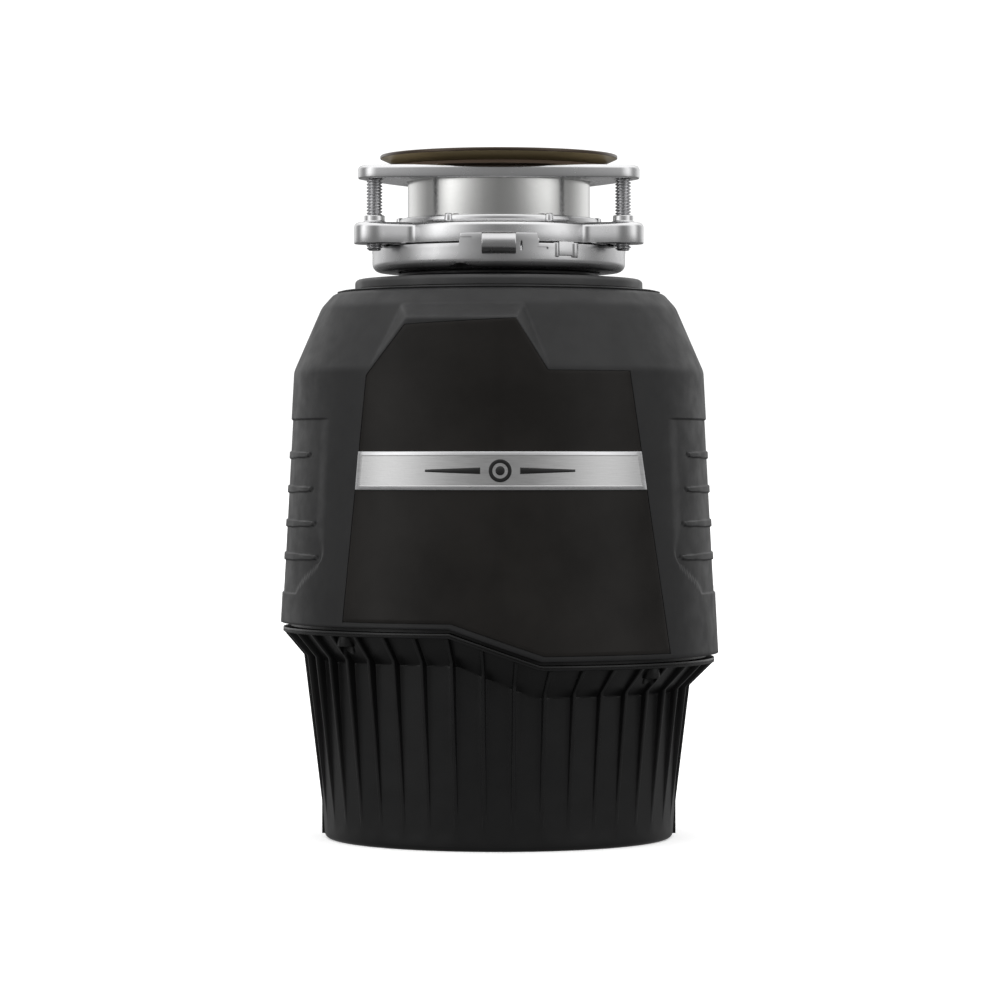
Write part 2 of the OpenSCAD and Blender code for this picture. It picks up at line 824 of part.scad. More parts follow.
module discharge_tube() {
    bore = discharge_r - 2;
    color("black") difference() {
        union() {
            rod_y(24, 107, 109.5, outlet_z);
            rod_y(discharge_r, 108, elbow_y, outlet_z);
            translate([0, elbow_y, outlet_z - elbow_r]) rotate([90, 0, 90])
                rotate_extrude(angle = 90) translate([elbow_r, 0]) circle(r = discharge_r);
            translate([0, elbow_y + elbow_r, 0]) rod(discharge_r, tube_end_z, outlet_z - elbow_r);
        }
        rod_y(bore, 100, elbow_y, outlet_z);
        translate([0, elbow_y, outlet_z - elbow_r]) rotate([90, 0, 90])
            rotate_extrude(angle = 90) translate([elbow_r, 0]) circle(r = bore);
        translate([0, elbow_y + elbow_r, 0]) rod(bore, tube_end_z - 5, outlet_z - elbow_r);
    }
}

sink_flange();
sink_baffle();
fiber_gasket();
backup_flange();
mounting_ring();
snap_ring();
mount_screw_left();
mount_screw_right();
mount_screw_rear();
lock_ring();
mounting_gasket();
top_cap();
upper_shell();
front_panel();
badge_plate();
upper_insulation();
grind_container();
container_seal();
dishwasher_inlet();
inlet_seal();
inlet_plug();
grind_ring();
turntable();
impeller_a();
impeller_b();
impeller_rivet_a();
impeller_rivet_b();
turntable_nut();
drain_housing();
housing_screws();
shaft_seal();
water_slinger();
upper_bearing();
thrust_washer();
motor_shaft();
rotor_core();
rotor_end_rings();
stator_core();
upper_winding();
lower_winding();
lower_bearing();
lower_end_frame();
through_bolts();
start_relay();
overload_protector();
reset_button();
terminal_box();
terminal_cover();
terminal_screws();
ground_screw();
motor_leads();
lower_shell();
shell_screws();
discharge_gasket();
discharge_flange();
discharge_bolts();
discharge_tube();
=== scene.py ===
"""Kitchen garbage disposal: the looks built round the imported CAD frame. Lengths are in millimetres
unless a name says otherwise; they become metres where a mesh is made. Angles are in degrees from the
front (-Y), turning towards the right (+X)."""
import math

import bpy
import numpy as np
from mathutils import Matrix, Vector
from mathutils.geometry import delaunay_2d_cdt, tessellate_polygon


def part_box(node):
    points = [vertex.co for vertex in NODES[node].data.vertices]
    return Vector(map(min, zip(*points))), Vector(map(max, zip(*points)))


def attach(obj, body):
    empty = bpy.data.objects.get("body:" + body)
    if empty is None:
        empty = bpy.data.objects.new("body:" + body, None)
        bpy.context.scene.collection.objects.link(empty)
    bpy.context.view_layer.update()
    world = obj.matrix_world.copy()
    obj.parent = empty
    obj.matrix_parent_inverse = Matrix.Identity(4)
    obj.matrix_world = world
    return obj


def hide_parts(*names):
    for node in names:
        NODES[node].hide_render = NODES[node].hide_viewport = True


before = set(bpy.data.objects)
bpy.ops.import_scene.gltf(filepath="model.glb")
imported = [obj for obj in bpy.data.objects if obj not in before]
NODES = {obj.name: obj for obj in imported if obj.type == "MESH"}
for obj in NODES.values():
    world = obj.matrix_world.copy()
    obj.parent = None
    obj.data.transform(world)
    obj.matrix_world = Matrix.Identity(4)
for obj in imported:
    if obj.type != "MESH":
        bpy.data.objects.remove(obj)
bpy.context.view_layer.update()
MM = 0.001


def span(node, axis):
    """Lowest and highest value of a CAD node along an axis, in millimetres."""
    low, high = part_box(node)
    return low[axis] / MM, high[axis] / MM


# ---------------------------------------------------------------- driving sizes, the same as the CAD's
RIM_R = 102.2
SHOULDER_R, SHOULDER_Z, DRAFT = 97.1, 220.4, 0.053
SEAM_LEFT, SEAM_RIGHT = (-22.7, 102.0), (19.3, 87.4)
SEAM_GAP, RIM_H = 1.8, 2.4
SKIRT_R, SKIRT_DRAFT = 82.4, 0.065
FUNNEL_H = 13.0
FIN_COUNT, FIN_T = 40, 1.8
EARS = (60.0, 180.0, 300.0)        # directions of the three mounting screws
TABS = (0.0, 120.0, 240.0)         # directions of the lock ring's lugs
SCREW_CIRCLE = 67.0
SCREW_BORE = 3.8                   # radius of the screws' holes, clear of the thread
EAR_TOP = 289.4
BOSS_CIRCLE = 95.0
BOSSES = (-133, -47, 47, 133)      # directions of the screws that hold the two shells
PI2 = 2 * math.pi


def wall_r(z):
    return SHOULDER_R + DRAFT * (SHOULDER_Z - z)


def skirt_r(z):
    return SKIRT_R + SKIRT_DRAFT * z


def seam_z(x):
    """Height of the seam between the shells: level at both sides, sloping across the front and back."""
    return np.interp(x, [SEAM_LEFT[0], SEAM_RIGHT[0]], [SEAM_LEFT[1], SEAM_RIGHT[1]])


def direction(theta):
    """Unit vectors, seen from above, of angles from the front."""
    a = np.radians(theta)
    return np.sin(a), -np.cos(a)


# ---------------------------------------------------------------- mesh making
def add_mesh(name, verts, faces, material, body="housing", replaces=(), slot=None, sharp=35, extra=(),
             pick=None):
    """A piece from points in millimetres. Edges steeper than sharp degrees stay crisp. pick gives each face's
    material from the centre of its points."""
    mesh = bpy.data.meshes.new(name)
    mesh.from_pydata((np.asarray(verts, float) * MM).tolist(), [], [list(map(int, f)) for f in faces])
    mesh.update()
    obj = bpy.data.objects.new(name, mesh)
    bpy.context.scene.collection.objects.link(obj)
    mesh.materials.append(material)
    for m in extra:
        mesh.materials.append(m)
    if pick:
        for poly in mesh.polygons:
            poly.material_index = pick(*(c / MM for c in poly.center))
    mesh.shade_smooth()
    mesh.set_sharp_from_angle(angle=math.radians(sharp))
    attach(obj, body)
    if replaces:
        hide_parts(*replaces)
    return obj


def join(parts):
    """One vertex and face list from several (verts, faces) pairs."""
    verts, faces, base = [], [], 0
    for v, f in parts:
        verts.append(np.asarray(v, float))
        faces += [[i + base for i in face] for face in f]
        base += len(v)
    return np.vstack(verts), faces


def placed(part, turn=0.0, move=(0, 0, 0), tilt=None):
    """A (verts, faces) pair tilted, turned about Z and moved."""
    v = np.array(part[0], float)
    if tilt == "x":      # Z to +Y
        v = v[:, [0, 2, 1]] * [1, 1, -1]
    if tilt == "y":      # Z to +X
        v = v[:, [2, 1, 0]] * [1, 1, -1]
    a = math.radians(turn)
    c, s = math.cos(a), math.sin(a)
    x, y = v[:, 0] * c - v[:, 1] * s, v[:, 0] * s + v[:, 1] * c
    return np.column_stack([x, y, v[:, 2]]) + np.array(move, float), part[1]


def rounded(points, radius=0.4, steps=3):
    """A closed outline with its corners rounded. A third value on a point is that corner's own radius."""
    out, n = [], len(points)
    for i, p in enumerate(points):
        r = p[2] if len(p) > 2 else radius
        here = np.array(p[:2], float)
        a = np.array(points[i - 1][:2], float) - here
        b = np.array(points[(i + 1) % n][:2], float) - here
        la, lb = np.linalg.norm(a), np.linalg.norm(b)
        a, b = a / la, b / lb
        half = math.acos(np.clip(a @ b, -1, 1)) / 2
        if r <= 0 or half > math.radians(88):
            out.append(tuple(here))
            continue
        reach = min(r / math.tan(half), 0.45 * la, 0.45 * lb)
        r = reach * math.tan(half)
        centre = here + (a + b) / np.linalg.norm(a + b) * r / math.sin(half)
        start, end = here + a * reach - centre, here + b * reach - centre
        a0, a1 = math.atan2(start[1], start[0]), math.atan2(end[1], end[0])
        turn = (a1 - a0 + math.pi) % PI2 - math.pi
        for k in range(steps + 1):
            t = a0 + turn * k / steps
            out.append((centre[0] + r * math.cos(t), centre[1] + r * math.sin(t)))
    return out


def bridge(rows, cols, wrap_rows, wrap_cols=True):
    """Quads of a grid of points."""
    faces = []
    for i in range(rows if wrap_rows else rows - 1):
        for j in range(cols if wrap_cols else cols - 1):
            k, m = (i + 1) % rows, (j + 1) % cols
            faces.append([i * cols + j, i * cols + m, k * cols + m, k * cols + j])
    return faces


def lathe(profile, count=192, low=0.0, high=360.0):
    """A closed outline of (r, z), drawn anticlockwise, turned about Z; a part turn gets end faces."""
    full = high - low >= 359.999
    thetas = low + (high - low) * np.arange(count if full else count + 1) / count
    sx, sy = direction(thetas)
    prof = np.array(profile, float)
    area = sum(p[0] * q[1] - q[0] * p[1] for p, q in zip(profile, profile[1:] + profile[:1]))
    prof = prof if area > 0 else prof[::-1]
    grid = np.stack([prof[:, :1] * sx, prof[:, :1] * sy, np.repeat(prof[:, 1:], len(thetas), 1)], 2)
    rows, cols = grid.shape[:2]
    faces = bridge(rows, cols, True, full)
    if not full:
        faces.append([i * cols for i in range(rows)])
        faces.append([i * cols + cols - 1 for i in range(rows)][::-1])
    return grid.reshape(-1, 3), faces


def polar_loft(rows, thetas):
    """A closed skin round the axis: rows of (r, z), each a number or an array over thetas."""
    sx, sy = direction(thetas)
    grid = []
    for r, z in rows:
        r, z = np.broadcast_to(r, sx.shape), np.broadcast_to(z, sx.shape)
        grid.append(np.column_stack([r * sx, r * sy, z]))
    return np.vstack(grid), bridge(len(rows), len(thetas), True)


def reach(inside, thetas, offset=0.0, far=110.0):
    """Distance along each direction to where the signed distance equals -offset."""
    sx, sy = direction(thetas)
    low, high = np.zeros_like(sx), np.full_like(sx, far)
    for _ in range(40):
        mid = (low + high) / 2
        hit = inside(mid * sx, mid * sy) < -offset
        low, high = np.where(hit, mid, low), np.where(hit, high, mid)
    return (low + high) / 2


def circle_distance(x, y, cx, cy, r):
    return np.hypot(x - cx, y - cy) - r


def convex_distance(x, y, corners):
    """Signed distance to a convex outline given anticlockwise, exact enough near its sides."""
    d = np.full_like(x, -1e9)
    for (ax, ay), (bx, by) in zip(corners, corners[1:] + corners[:1]):
        nx, ny = by - ay, ax - bx
        d = np.maximum(d, ((x - ax) * nx + (y - ay) * ny) / math.hypot(nx, ny))
    return d


def soft_min(a, b, k):
    h = np.clip(0.5 + 0.5 * (b - a) / k, 0, 1)
    return b + (a - b) * h - k * h * (1 - h)


def soft_max(a, b, k):
    return -soft_min(-a, -b, k)


def soft_step(x, low, high):
    t = np.clip((x - low) / (high - low), 0, 1)
    return t * t * (3 - 2 * t)


def plate(outline, holes, z0, z1, edge=0.5, steps=3):
    """A flat plate with holes and rounded edges. Outline and holes are anticlockwise lists of (x, y)."""
    verts, faces, caps = [], [], {0: [], 1: []}
    for k, loop in enumerate([outline] + list(holes)):
        pts = np.array(loop, float)
        nxt, prv = np.roll(pts, -1, 0), np.roll(pts, 1, 0)
        d1, d2 = pts - prv, nxt - pts
        n1 = np.column_stack([d1[:, 1], -d1[:, 0]]) / np.linalg.norm(d1, axis=1)[:, None]
        n2 = np.column_stack([d2[:, 1], -d2[:, 0]]) / np.linalg.norm(d2, axis=1)[:, None]
        normal = n1 + n2
        normal /= np.maximum((normal * n2).sum(1), 0.2)[:, None]
        side = 1 if k == 0 else -1
        rings = [(edge * (math.cos(t) - 1), z0 + edge * (1 - math.sin(t)))
                 for t in np.linspace(math.pi / 2, 0, steps + 1)]
        rings += [(edge * (math.cos(t) - 1), z1 - edge * (1 - math.sin(t)))
                  for t in np.linspace(0, math.pi / 2, steps + 1)]
        base, n = sum(len(v) for v in verts), len(pts)
        for shift, z in rings:
            verts.append(np.column_stack([pts + normal * shift * side, np.full(n, z)]))
        quads = bridge(len(rings), n, False)
        faces += [[i + base for i in (f if side > 0 else f[::-1])] for f in quads]
        caps[0].append(list(range(base, base + n)))
        caps[1].append(list(range(base + (len(rings) - 1) * n, base + len(rings) * n)))
    verts = np.vstack(verts)
    for top, loops in caps.items():
        flat = [i for loop in loops for i in loop]
        for tri in tessellate_polygon([[Vector((*verts[i][:2], 0)) for i in loop] for loop in loops]):
            a, b, c = (flat[i] for i in tri)
            up = np.cross(verts[b] - verts[a], verts[c] - verts[a])[2] > 0
            faces.append([a, b, c] if up == bool(top) else [c, b, a])
    return verts, faces


def ngon(r, sides, cx=0.0, cy=0.0, turn=0.0):
    return [(cx + r * math.cos(PI2 * i / sides + math.radians(turn)),
             cy + r * math.sin(PI2 * i / sides + math.radians(turn))) for i in range(sides)]


def cut(obj, cutters):
    """Takes closed (verts, faces) shapes out of a piece."""
    for part in cutters:
        mesh = bpy.data.meshes.new("cutter")
        mesh.from_pydata((np.asarray(part[0]) * MM).tolist(), [], [list(map(int, f)) for f in part[1]])
        tool = bpy.data.objects.new("cutter", mesh)
        bpy.context.scene.collection.objects.link(tool)
        mod = obj.modifiers.new("cut", "BOOLEAN")
        mod.operation, mod.solver, mod.object = "DIFFERENCE", "EXACT", tool
        deps = bpy.context.evaluated_depsgraph_get()
        new = bpy.data.meshes.new_from_object(obj.evaluated_get(deps))
        obj.modifiers.remove(mod)
        old, obj.data = obj.data, new
        bpy.data.meshes.remove(old)
        bpy.data.objects.remove(tool)
        bpy.data.meshes.remove(mesh)
    obj.data.shade_smooth()
    obj.data.set_sharp_from_angle(angle=math.radians(35))
    return obj


# ---------------------------------------------------------------- materials
class Paint:
    """A procedural material: principled shader with noise in colour, roughness and surface height."""

    def __init__(self, name, color, rough, metallic=0.0, coat=0.0, coat_rough=0.1, spec=0.5, aniso=0.0):
        self.mat = bpy.data.materials.new(name)
        self.mat.use_nodes = True
        self.tree = self.mat.node_tree
        self.shader = self.tree.nodes["Principled BSDF"]
        self.set("Base Color", (*color, 1))
        self.set("Roughness", rough)
        self.set("Metallic", metallic)
        self.set("Specular IOR Level", spec)
        if aniso:
            self.set("Anisotropic", aniso)
        if coat:
            self.set("Coat Weight", coat)
            self.set("Coat Roughness", coat_rough)
        self.color, self.rough, self.normal = color, rough, None
        self.coords = self.node("ShaderNodeTexCoord").outputs["Object"]

    def set(self, socket, value):
        self.shader.inputs[socket].default_value = value

    def node(self, kind, **values):
        n = self.tree.nodes.new(kind)
        for key, value in values.items():
            if key in n.inputs:
                n.inputs[key].default_value = value
            else:
                setattr(n, key, value)
        return n

    def link(self, a, b):
        self.tree.links.new(a, b)

    def noise(self, scale, detail=4.0, stretch=(1, 1, 1), rough=0.55):
        """Noise output; scale is features per metre."""
        place = self.node("ShaderNodeMapping")
        place.inputs["Scale"].default_value = stretch
        self.link(self.coords, place.inputs["Vector"])
        n = self.node("ShaderNodeTexNoise", Scale=scale, Detail=detail, Roughness=rough)
        self.link(place.outputs["Vector"], n.inputs["Vector"])
        return n.outputs["Fac"]

    def ramp(self, source, stops):
        r = self.node("ShaderNodeValToRGB")
        while len(r.color_ramp.elements) < len(stops):
            r.color_ramp.elements.new(0.5)
        for e, (pos, value) in zip(r.color_ramp.elements, stops):
            e.position = pos
            e.color = (*value, 1) if hasattr(value, "__len__") else (value, value, value, 1)
        self.link(source, r.inputs["Fac"])
        return r.outputs["Color"]

    def vary_color(self, source, low, high, span=(0.35, 0.65)):
        """Base colour between low and high times the plain one, by a noise."""
        c = np.array(self.color)
        out = self.ramp(source, [(span[0], tuple(c * low)), (span[1], tuple(c * high))])
        self.link(out, self.shader.inputs["Base Color"])
        return self

    def vary_rough(self, source, low, high, span=(0.35, 0.65)):
        out = self.ramp(source, [(span[0], low), (span[1], high)])
        self.link(out, self.shader.inputs["Roughness"])
        return self

    def bump(self, source, height_mm, strength=1.0):
        b = self.node("ShaderNodeBump", Strength=strength, Distance=height_mm * MM)
        self.link(source, b.inputs["Height"])
        if self.normal:
            self.link(self.normal, b.inputs["Normal"])
        self.normal = b.outputs["Normal"]
        self.link(self.normal, self.shader.inputs["Normal"])
        return self

    def worn_edges(self, bright, amount=0.5, low=0.52, high=0.6):
        """Paler colour where the surface bends outwards sharply, broken up by noise."""
        geo = self.node("ShaderNodeNewGeometry")
        edge = self.ramp(geo.outputs["Pointiness"], [(low, 0.0), (high, 1.0)])
        spots = self.ramp(self.noise(260, 6), [(0.42, 0.0), (0.62, 1.0)])
        both = self.node("ShaderNodeMath", operation="MULTIPLY")
        self.link(edge, both.inputs[0])
        self.link(spots, both.inputs[1])
        share = self.node("ShaderNodeMath", operation="MULTIPLY")
        self.link(both.outputs[0], share.inputs[0])
        share.inputs[1].default_value = amount
        mix = self.node("ShaderNodeMix", data_type="RGBA")
        before = self.shader.inputs["Base Color"]
        if before.links:
            self.link(before.links[0].from_socket, mix.inputs["A"])
        else:
            mix.inputs["A"].default_value = before.default_value
        mix.inputs["B"].default_value = (*bright, 1)
        self.link(share.outputs[0], mix.inputs["Factor"])
        self.link(mix.outputs["Result"], before)
        return self


def plastic(name, color, rough, grain_mm=0.02, grain_scale=1600, spec=0.5, blotch=(0.88, 1.12)):
    """Moulded plastic: fine grain, faint colour and gloss variation."""
    p = Paint(name, color, rough, spec=spec)
    p.vary_color(p.noise(38, 5), *blotch)
    p.vary_rough(p.noise(90, 6), rough * 0.9, min(1.0, rough * 1.12))
    p.bump(p.noise(grain_scale, 3), grain_mm)
    return p


def steel(name, color, rough, stretch=(1, 1, 24), scale=220, bump_mm=0.004, vary=(0.95, 1.04), spread=0.2):
    """Rolled or plated steel with fine drawn lines; stretch is larger across the lines."""
    p = Paint(name, color, rough, metallic=1.0)
    p.vary_color(p.noise(30, 5), *vary)
    lines = p.noise(scale, 5, stretch)
    p.vary_rough(lines, rough * (1 - spread), rough * (1 + spread), (0.3, 0.7))
    if bump_mm:
        p.bump(lines, bump_mm)
    return p


def rubber(name, color=(0.012, 0.012, 0.013), rough=0.5):
    p = Paint(name, color, rough)
    p.vary_color(p.noise(60, 5), 0.75, 1.5)
    p.vary_rough(p.noise(140, 5), rough * 0.85, rough * 1.2)
    p.bump(p.noise(900, 4), 0.015)
    return p


M = {
    "flange": steel("stainless_flange", (0.61, 0.61, 0.60), 0.19, (1, 1, 6), 240, 0, (0.97, 1.03), 0.08).mat,
    # Painted reflection: a brown-gold colour given to the steel flange's downward face.
    "flange_underside_painted_reflection": Paint("underside_painted_reflection", (0.34, 0.27, 0.15), 0.34, metallic=0.25).mat,
    # Painted shade: a near-black brown given to the steel flange's lip.
    "flange_lip_painted_shade": Paint("lip_painted_shade", (0.05, 0.034, 0.022), 0.3, metallic=0.5).mat,
    "zinc": steel("plated_mount", (0.60, 0.60, 0.605), 0.25, (1, 1, 1), 160, 0, (0.95, 1.04), 0.12).mat,
    "lock": steel("plated_lock_ring", (0.52, 0.52, 0.525), 0.29, (1, 1, 1), 160, 0, (0.94, 1.05), 0.12).mat,
    "screw": steel("plated_screw", (0.50, 0.50, 0.51), 0.26, (1, 1, 1), 400, 0).mat,
    "fiber": Paint("fiber_board", (0.085, 0.055, 0.035), 0.85).mat,
    "rubber": rubber("neck_rubber").mat,
    "cap": plastic("cap_plastic", (0.028, 0.028, 0.0285), 0.5, 0.012).mat,
    "shell": plastic("shell_plastic", (0.0135, 0.0135, 0.014), 0.5, 0.012, 1600, 0.32).mat,
    "skirt": plastic("skirt_plastic", (0.0090, 0.0090, 0.0092), 0.36, 0.004, 1400, 0.32).mat,
    "dark": plastic("dark_plastic", (0.02, 0.02, 0.021), 0.45).mat,
    "fitting": plastic("housing_plastic", (0.035, 0.036, 0.038), 0.5).mat,
    "foam": plastic("insulation_foam", (0.62, 0.60, 0.54), 0.95, 0.2, 700).mat,
    "chamber": steel("chamber_steel", (0.58, 0.58, 0.58), 0.26, (1, 1, 20), 200).mat,
    "fastener": steel("plated_fastener", (0.58, 0.57, 0.54), 0.28, (1, 1, 1), 350).mat,
    "bronze": steel("sintered_bronze", (0.52, 0.32, 0.14), 0.42, (1, 1, 1), 900).mat,
    "shaft": steel("ground_shaft", (0.5, 0.5, 0.51), 0.2, (1, 1, 30), 300).mat,
    "cast": steel("cast_aluminium", (0.56, 0.57, 0.58), 0.42, (1, 1, 1), 900, 0.05).mat,
    "laminated": steel("laminations", (0.3, 0.31, 0.33), 0.38, (1, 1, 60), 60, 0.05).mat,
    "copper": steel("winding_copper", (0.62, 0.26, 0.10), 0.34, (1, 1, 40), 90, 0.2).mat,
    "relay": plastic("relay_plastic", (0.6, 0.56, 0.47), 0.5).mat,
    "protector": plastic("protector_plastic", (0.17, 0.02, 0.014), 0.45).mat,
    "button": plastic("button_red", (0.42, 0.012, 0.01), 0.25).mat,
    "green": plastic("ground_green", (0.02, 0.16, 0.05), 0.35).mat,
    "vinyl": plastic("lead_vinyl", (0.02, 0.035, 0.16), 0.4).mat,
}
panel = Paint("panel_gloss", (0.0200, 0.0186, 0.0174), 0.24, spec=0.07)
panel.vary_color(panel.noise(25, 4), 0.85, 1.2)
panel.vary_rough(panel.noise(60, 6), 0.22, 0.27)
panel.bump(panel.noise(45, 2), 0.01)
M["panel"] = panel.mat
badge = Paint("badge_metal", (0.56, 0.56, 0.56), 0.34, metallic=1.0)
brush_lines = badge.noise(110, 8, (1, 1, 45), 0.7)
badge.vary_color(brush_lines, 0.78, 1.12, (0.3, 0.7))
badge.vary_rough(brush_lines, 0.26, 0.46, (0.3, 0.7))
badge.bump(brush_lines, 0.02)
M["badge"] = badge.mat
M["ink"] = plastic("inlay_black", (0.008, 0.008, 0.008), 0.3).mat
M["badge_edge"] = steel("badge_bevel", (0.6, 0.6, 0.61), 0.3, (1, 1, 20), 120).mat

CAD_FINISH = {
    "flange": ["sink_flange"], "zinc": ["backup_flange", "mounting_ring", "snap_ring"],
    "lock": ["lock_ring"], "screw": ["mount_screw_left", "mount_screw_right", "mount_screw_rear"],
    "fiber": ["fiber_gasket"],
    "rubber": ["mounting_gasket", "sink_baffle", "container_seal", "shaft_seal", "inlet_seal",
               "discharge_gasket"],
    "cap": ["top_cap"], "shell": ["upper_shell"], "panel": ["front_panel"], "badge": ["badge_plate"],
    "skirt": ["lower_shell"], "foam": ["upper_insulation"],
    "chamber": ["grind_container", "grind_ring", "turntable", "impeller_a", "impeller_b",
                "impeller_rivet_a", "impeller_rivet_b", "turntable_nut"],
    "fitting": ["drain_housing", "dishwasher_inlet", "inlet_plug", "water_slinger"],
    "fastener": ["housing_screws", "through_bolts", "terminal_screws",
                 "discharge_bolts", "discharge_flange", "thrust_washer", "terminal_box",
                 "terminal_cover"],
    "bronze": ["upper_bearing", "lower_bearing"], "shaft": ["motor_shaft", "rotor_core"],
    "cast": ["rotor_end_rings", "lower_end_frame"], "laminated": ["stator_core"],
    "copper": ["upper_winding", "lower_winding"], "relay": ["start_relay"],
    "protector": ["overload_protector"], "button": ["reset_button"], "green": ["ground_screw"],
    "vinyl": ["motor_leads"], "dark": ["discharge_tube", "shell_screws"],
}
for finish, names in CAD_FINISH.items():
    for name in names:
        mesh = NODES[name].data
        mesh.materials.clear()
        mesh.materials.append(M[finish])
        mesh.shade_smooth()
        mesh.set_sharp_from_angle(angle=math.radians(30))

# ---------------------------------------------------------------- upper shell
GRIP = {"low": 116.0, "high": 198.0, "half": 38.0, "depth": 0.75}
RIBS = ((181.0, 63.0), (165.0, 61.0), (149.0, 58.5), (133.5, 56.5))   # height and front end of each rib


def graded(stops):
    """Values from the first stop to the last; each stop is (value, step up to the next stop)."""
    out = []
    for (a, step), (b, _) in zip(stops, stops[1:]):
        n = max(1, round((b - a) / step))
        out += [a + (b - a) * i / n for i in range(n)]
    return np.array(out + [stops[-1][0]])


def dormer_r(theta, z):
    """Outer radius of the block raised in the shoulder, or a small number where there is none."""
    a = np.radians(theta)
    s, c = np.sin(a), np.cos(a)
    dz = z - SHOULDER_Z + 0.4
    face = wall_r(z)
    top = 95.9 + (z - 243.3) * (84.8 - 95.9) / (249.7 - 243.3)
    right_den, left_den = s + 0.667 * c, -s + 0.45 * c
    right = (22.5 - 0.644 * dz + 0.667 * 95.6) / np.where(right_den > 0.05, right_den, 0.05)
    left = (60 - 0.7725 * dz + 0.45 * (76.3 + 0.425 * dz)) / np.where(left_den > 0.05, left_den, 0.05)
    r = soft_min(face, top, 1.2)
    r = soft_min(r, right, 1.2)
    r = soft_min(r, left, 1.2)
    front = (np.abs(((theta + 180) % 360) - 180) < 60) & (right > 60) & (left > 60)
    return np.where(front, r, 0.0)


SHOULDER = ((62.0, 259.3), (70.0, 259.05), (77.8, 257.5), (84.0, 250.6), (97.1, 220.4))


def shoulder_radius(z):
    """Radius of the plain body at a height, above and below the shoulder's edge."""
    rs = [p[0] for p in SHOULDER[::-1]]
    zs = [p[1] for p in SHOULDER[::-1]]
    slope = np.interp(z, zs, rs)
    return np.where(z < SHOULDER_Z, wall_r(z), slope)


def grip_depth(theta, z):
    """How far the surface is sunk at a grip recess, with its ribs standing flush."""
    side = np.abs(np.abs(((theta + 180) % 360) - 180) - 90)       # from the side's middle
    arc = (GRIP["half"] - side) * 1.75                            # mm inside the recess's end
    corner = 26.0 * (1 - soft_step(z, GRIP["low"], GRIP["low"] + 26)) ** 2
    ends = soft_step(arc - corner, 0.0, 1.6 + 8.4 * soft_step(z, GRIP["low"] + 14, GRIP["low"] + 34))
    rows = soft_step(z, GRIP["low"], GRIP["low"] + 0.8) * (1 - soft_step(z, GRIP["high"] - 0.8, GRIP["high"]))
    depth = ends * rows
    for height, front_end in RIBS:
        grow = np.clip((GRIP["half"] - side - (front_end - 52)) / 30, 0, 1)
        half = 0.9 + 1.1 * np.sqrt(np.maximum(grow, 0))
        length = (GRIP["half"] - side - (front_end - 52)) * 1.75
        across = 1 - soft_step(np.abs(z - height), half - 0.45, half + 0.1)
        depth = depth * (1 - across * soft_step(length, 0.0, 1.0))
        dot = np.exp(-((length + 1.3) / 1.1) ** 2 - ((z - height) / 0.9) ** 2)
        depth = depth + 0.5 * dot * (np.abs(length) < 6)
    return depth * GRIP["depth"]


def make_upper_shell():
    thetas = graded([(-180, 1.5), (-129, 0.4), (-126, 1.0), (-66, 0.3), (-50, 0.45), (40, 0.45), (50, 0.3),
                     (66, 1.0), (126, 0.4), (129, 1.5), (180, 1.5)])[:-1]
    edge_rows = []
    for height, _ in RIBS[::-1]:
        edge_rows += [(height - 3.2, 0.4), (height + 3.2, 1.5)]
    zs = graded([(112, 1.2), (115.6, 0.25), (117.2, 1.5)] + edge_rows +
                [(196.6, 0.3), (198.6, 2.0), (217, 0.6), (222, 0.75), (250.5, 0.5), (257.5, 0.4)])
    low = zs[0]
    t, z = np.meshgrid(thetas, zs)
    plain = shoulder_radius(z)
    # the profile's own corners are rounded by averaging over a small window of heights
    soft = sum(shoulder_radius(z + d) for d in (-1.2, -0.6, 0.0, 0.6, 1.2)) / 5
    plain = np.where(z > 200, np.minimum(soft, plain + 0.02), plain)
    r = soft_max(plain, dormer_r(t, z), 0.5)
    r = np.where(z > 215, r, plain)
    r = r - grip_depth(t, z)
    # below the features the rows are sheared down to the seam
    seam = seam_z(wall_r(95.0) * np.sin(np.radians(thetas)))
    rows = []
    for inset, lift in ((0.55, 0.0), (0.16, 0.16), (0.0, 0.55)):
        rows.append((wall_r(seam + lift) - inset, seam + lift))
    for share in (0.06, 0.2, 0.4, 0.6, 0.8):
        zz = seam + 0.55 + (low - seam - 0.55) * share
        rows.append((wall_r(zz), zz))
    rows += [(r[i], np.full(len(thetas), zs[i])) for i in range(len(zs))]
    for rr, zz in ((76.6, 258.1), (74.5, 258.6), (70.0, 259.05), (63.0, 259.3), (62.3, 259.0), (62.0, 258.3),
                   (62.0, 256.3), (69.0, 256.2), (75.9, 255.0), (81.0, 249.8)):
        rows.append((np.full(len(thetas), rr), np.full(len(thetas), zz)))
    for zz in (219.4, 160.0, 112.0):
        rows.append((np.full(len(thetas), wall_r(zz) - 3), np.full(len(thetas), zz)))
    rows.append((wall_r(seam) - 3.0, seam + 0.3))
    rows.append((wall_r(seam) - 2.7, seam))
    verts, faces = polar_loft(rows, thetas)
    shell = add_mesh("upper_shell_skin", verts, faces, M["shell"], "housing", ("upper_shell",),
                     "shell_plastic", 32)
    outlet_z = sum(span("discharge_gasket", 2)) / 2
    inlet_z = sum(span("inlet_plug", 2)) / 2
    oval = oval_outline(27.0, 11.0, 30.0)
    cutters = [placed(plate(oval, [], 60, 120, 0.01), tilt="x", move=(0, 0, outlet_z)),
               placed(plate(ngon(13.5, 64), [], 60, 120, 0.01), tilt="x", move=(0, 0, inlet_z)),
               panel_solid(0.25, -0.6, 4.0)]
    return cut(shell, cutters)


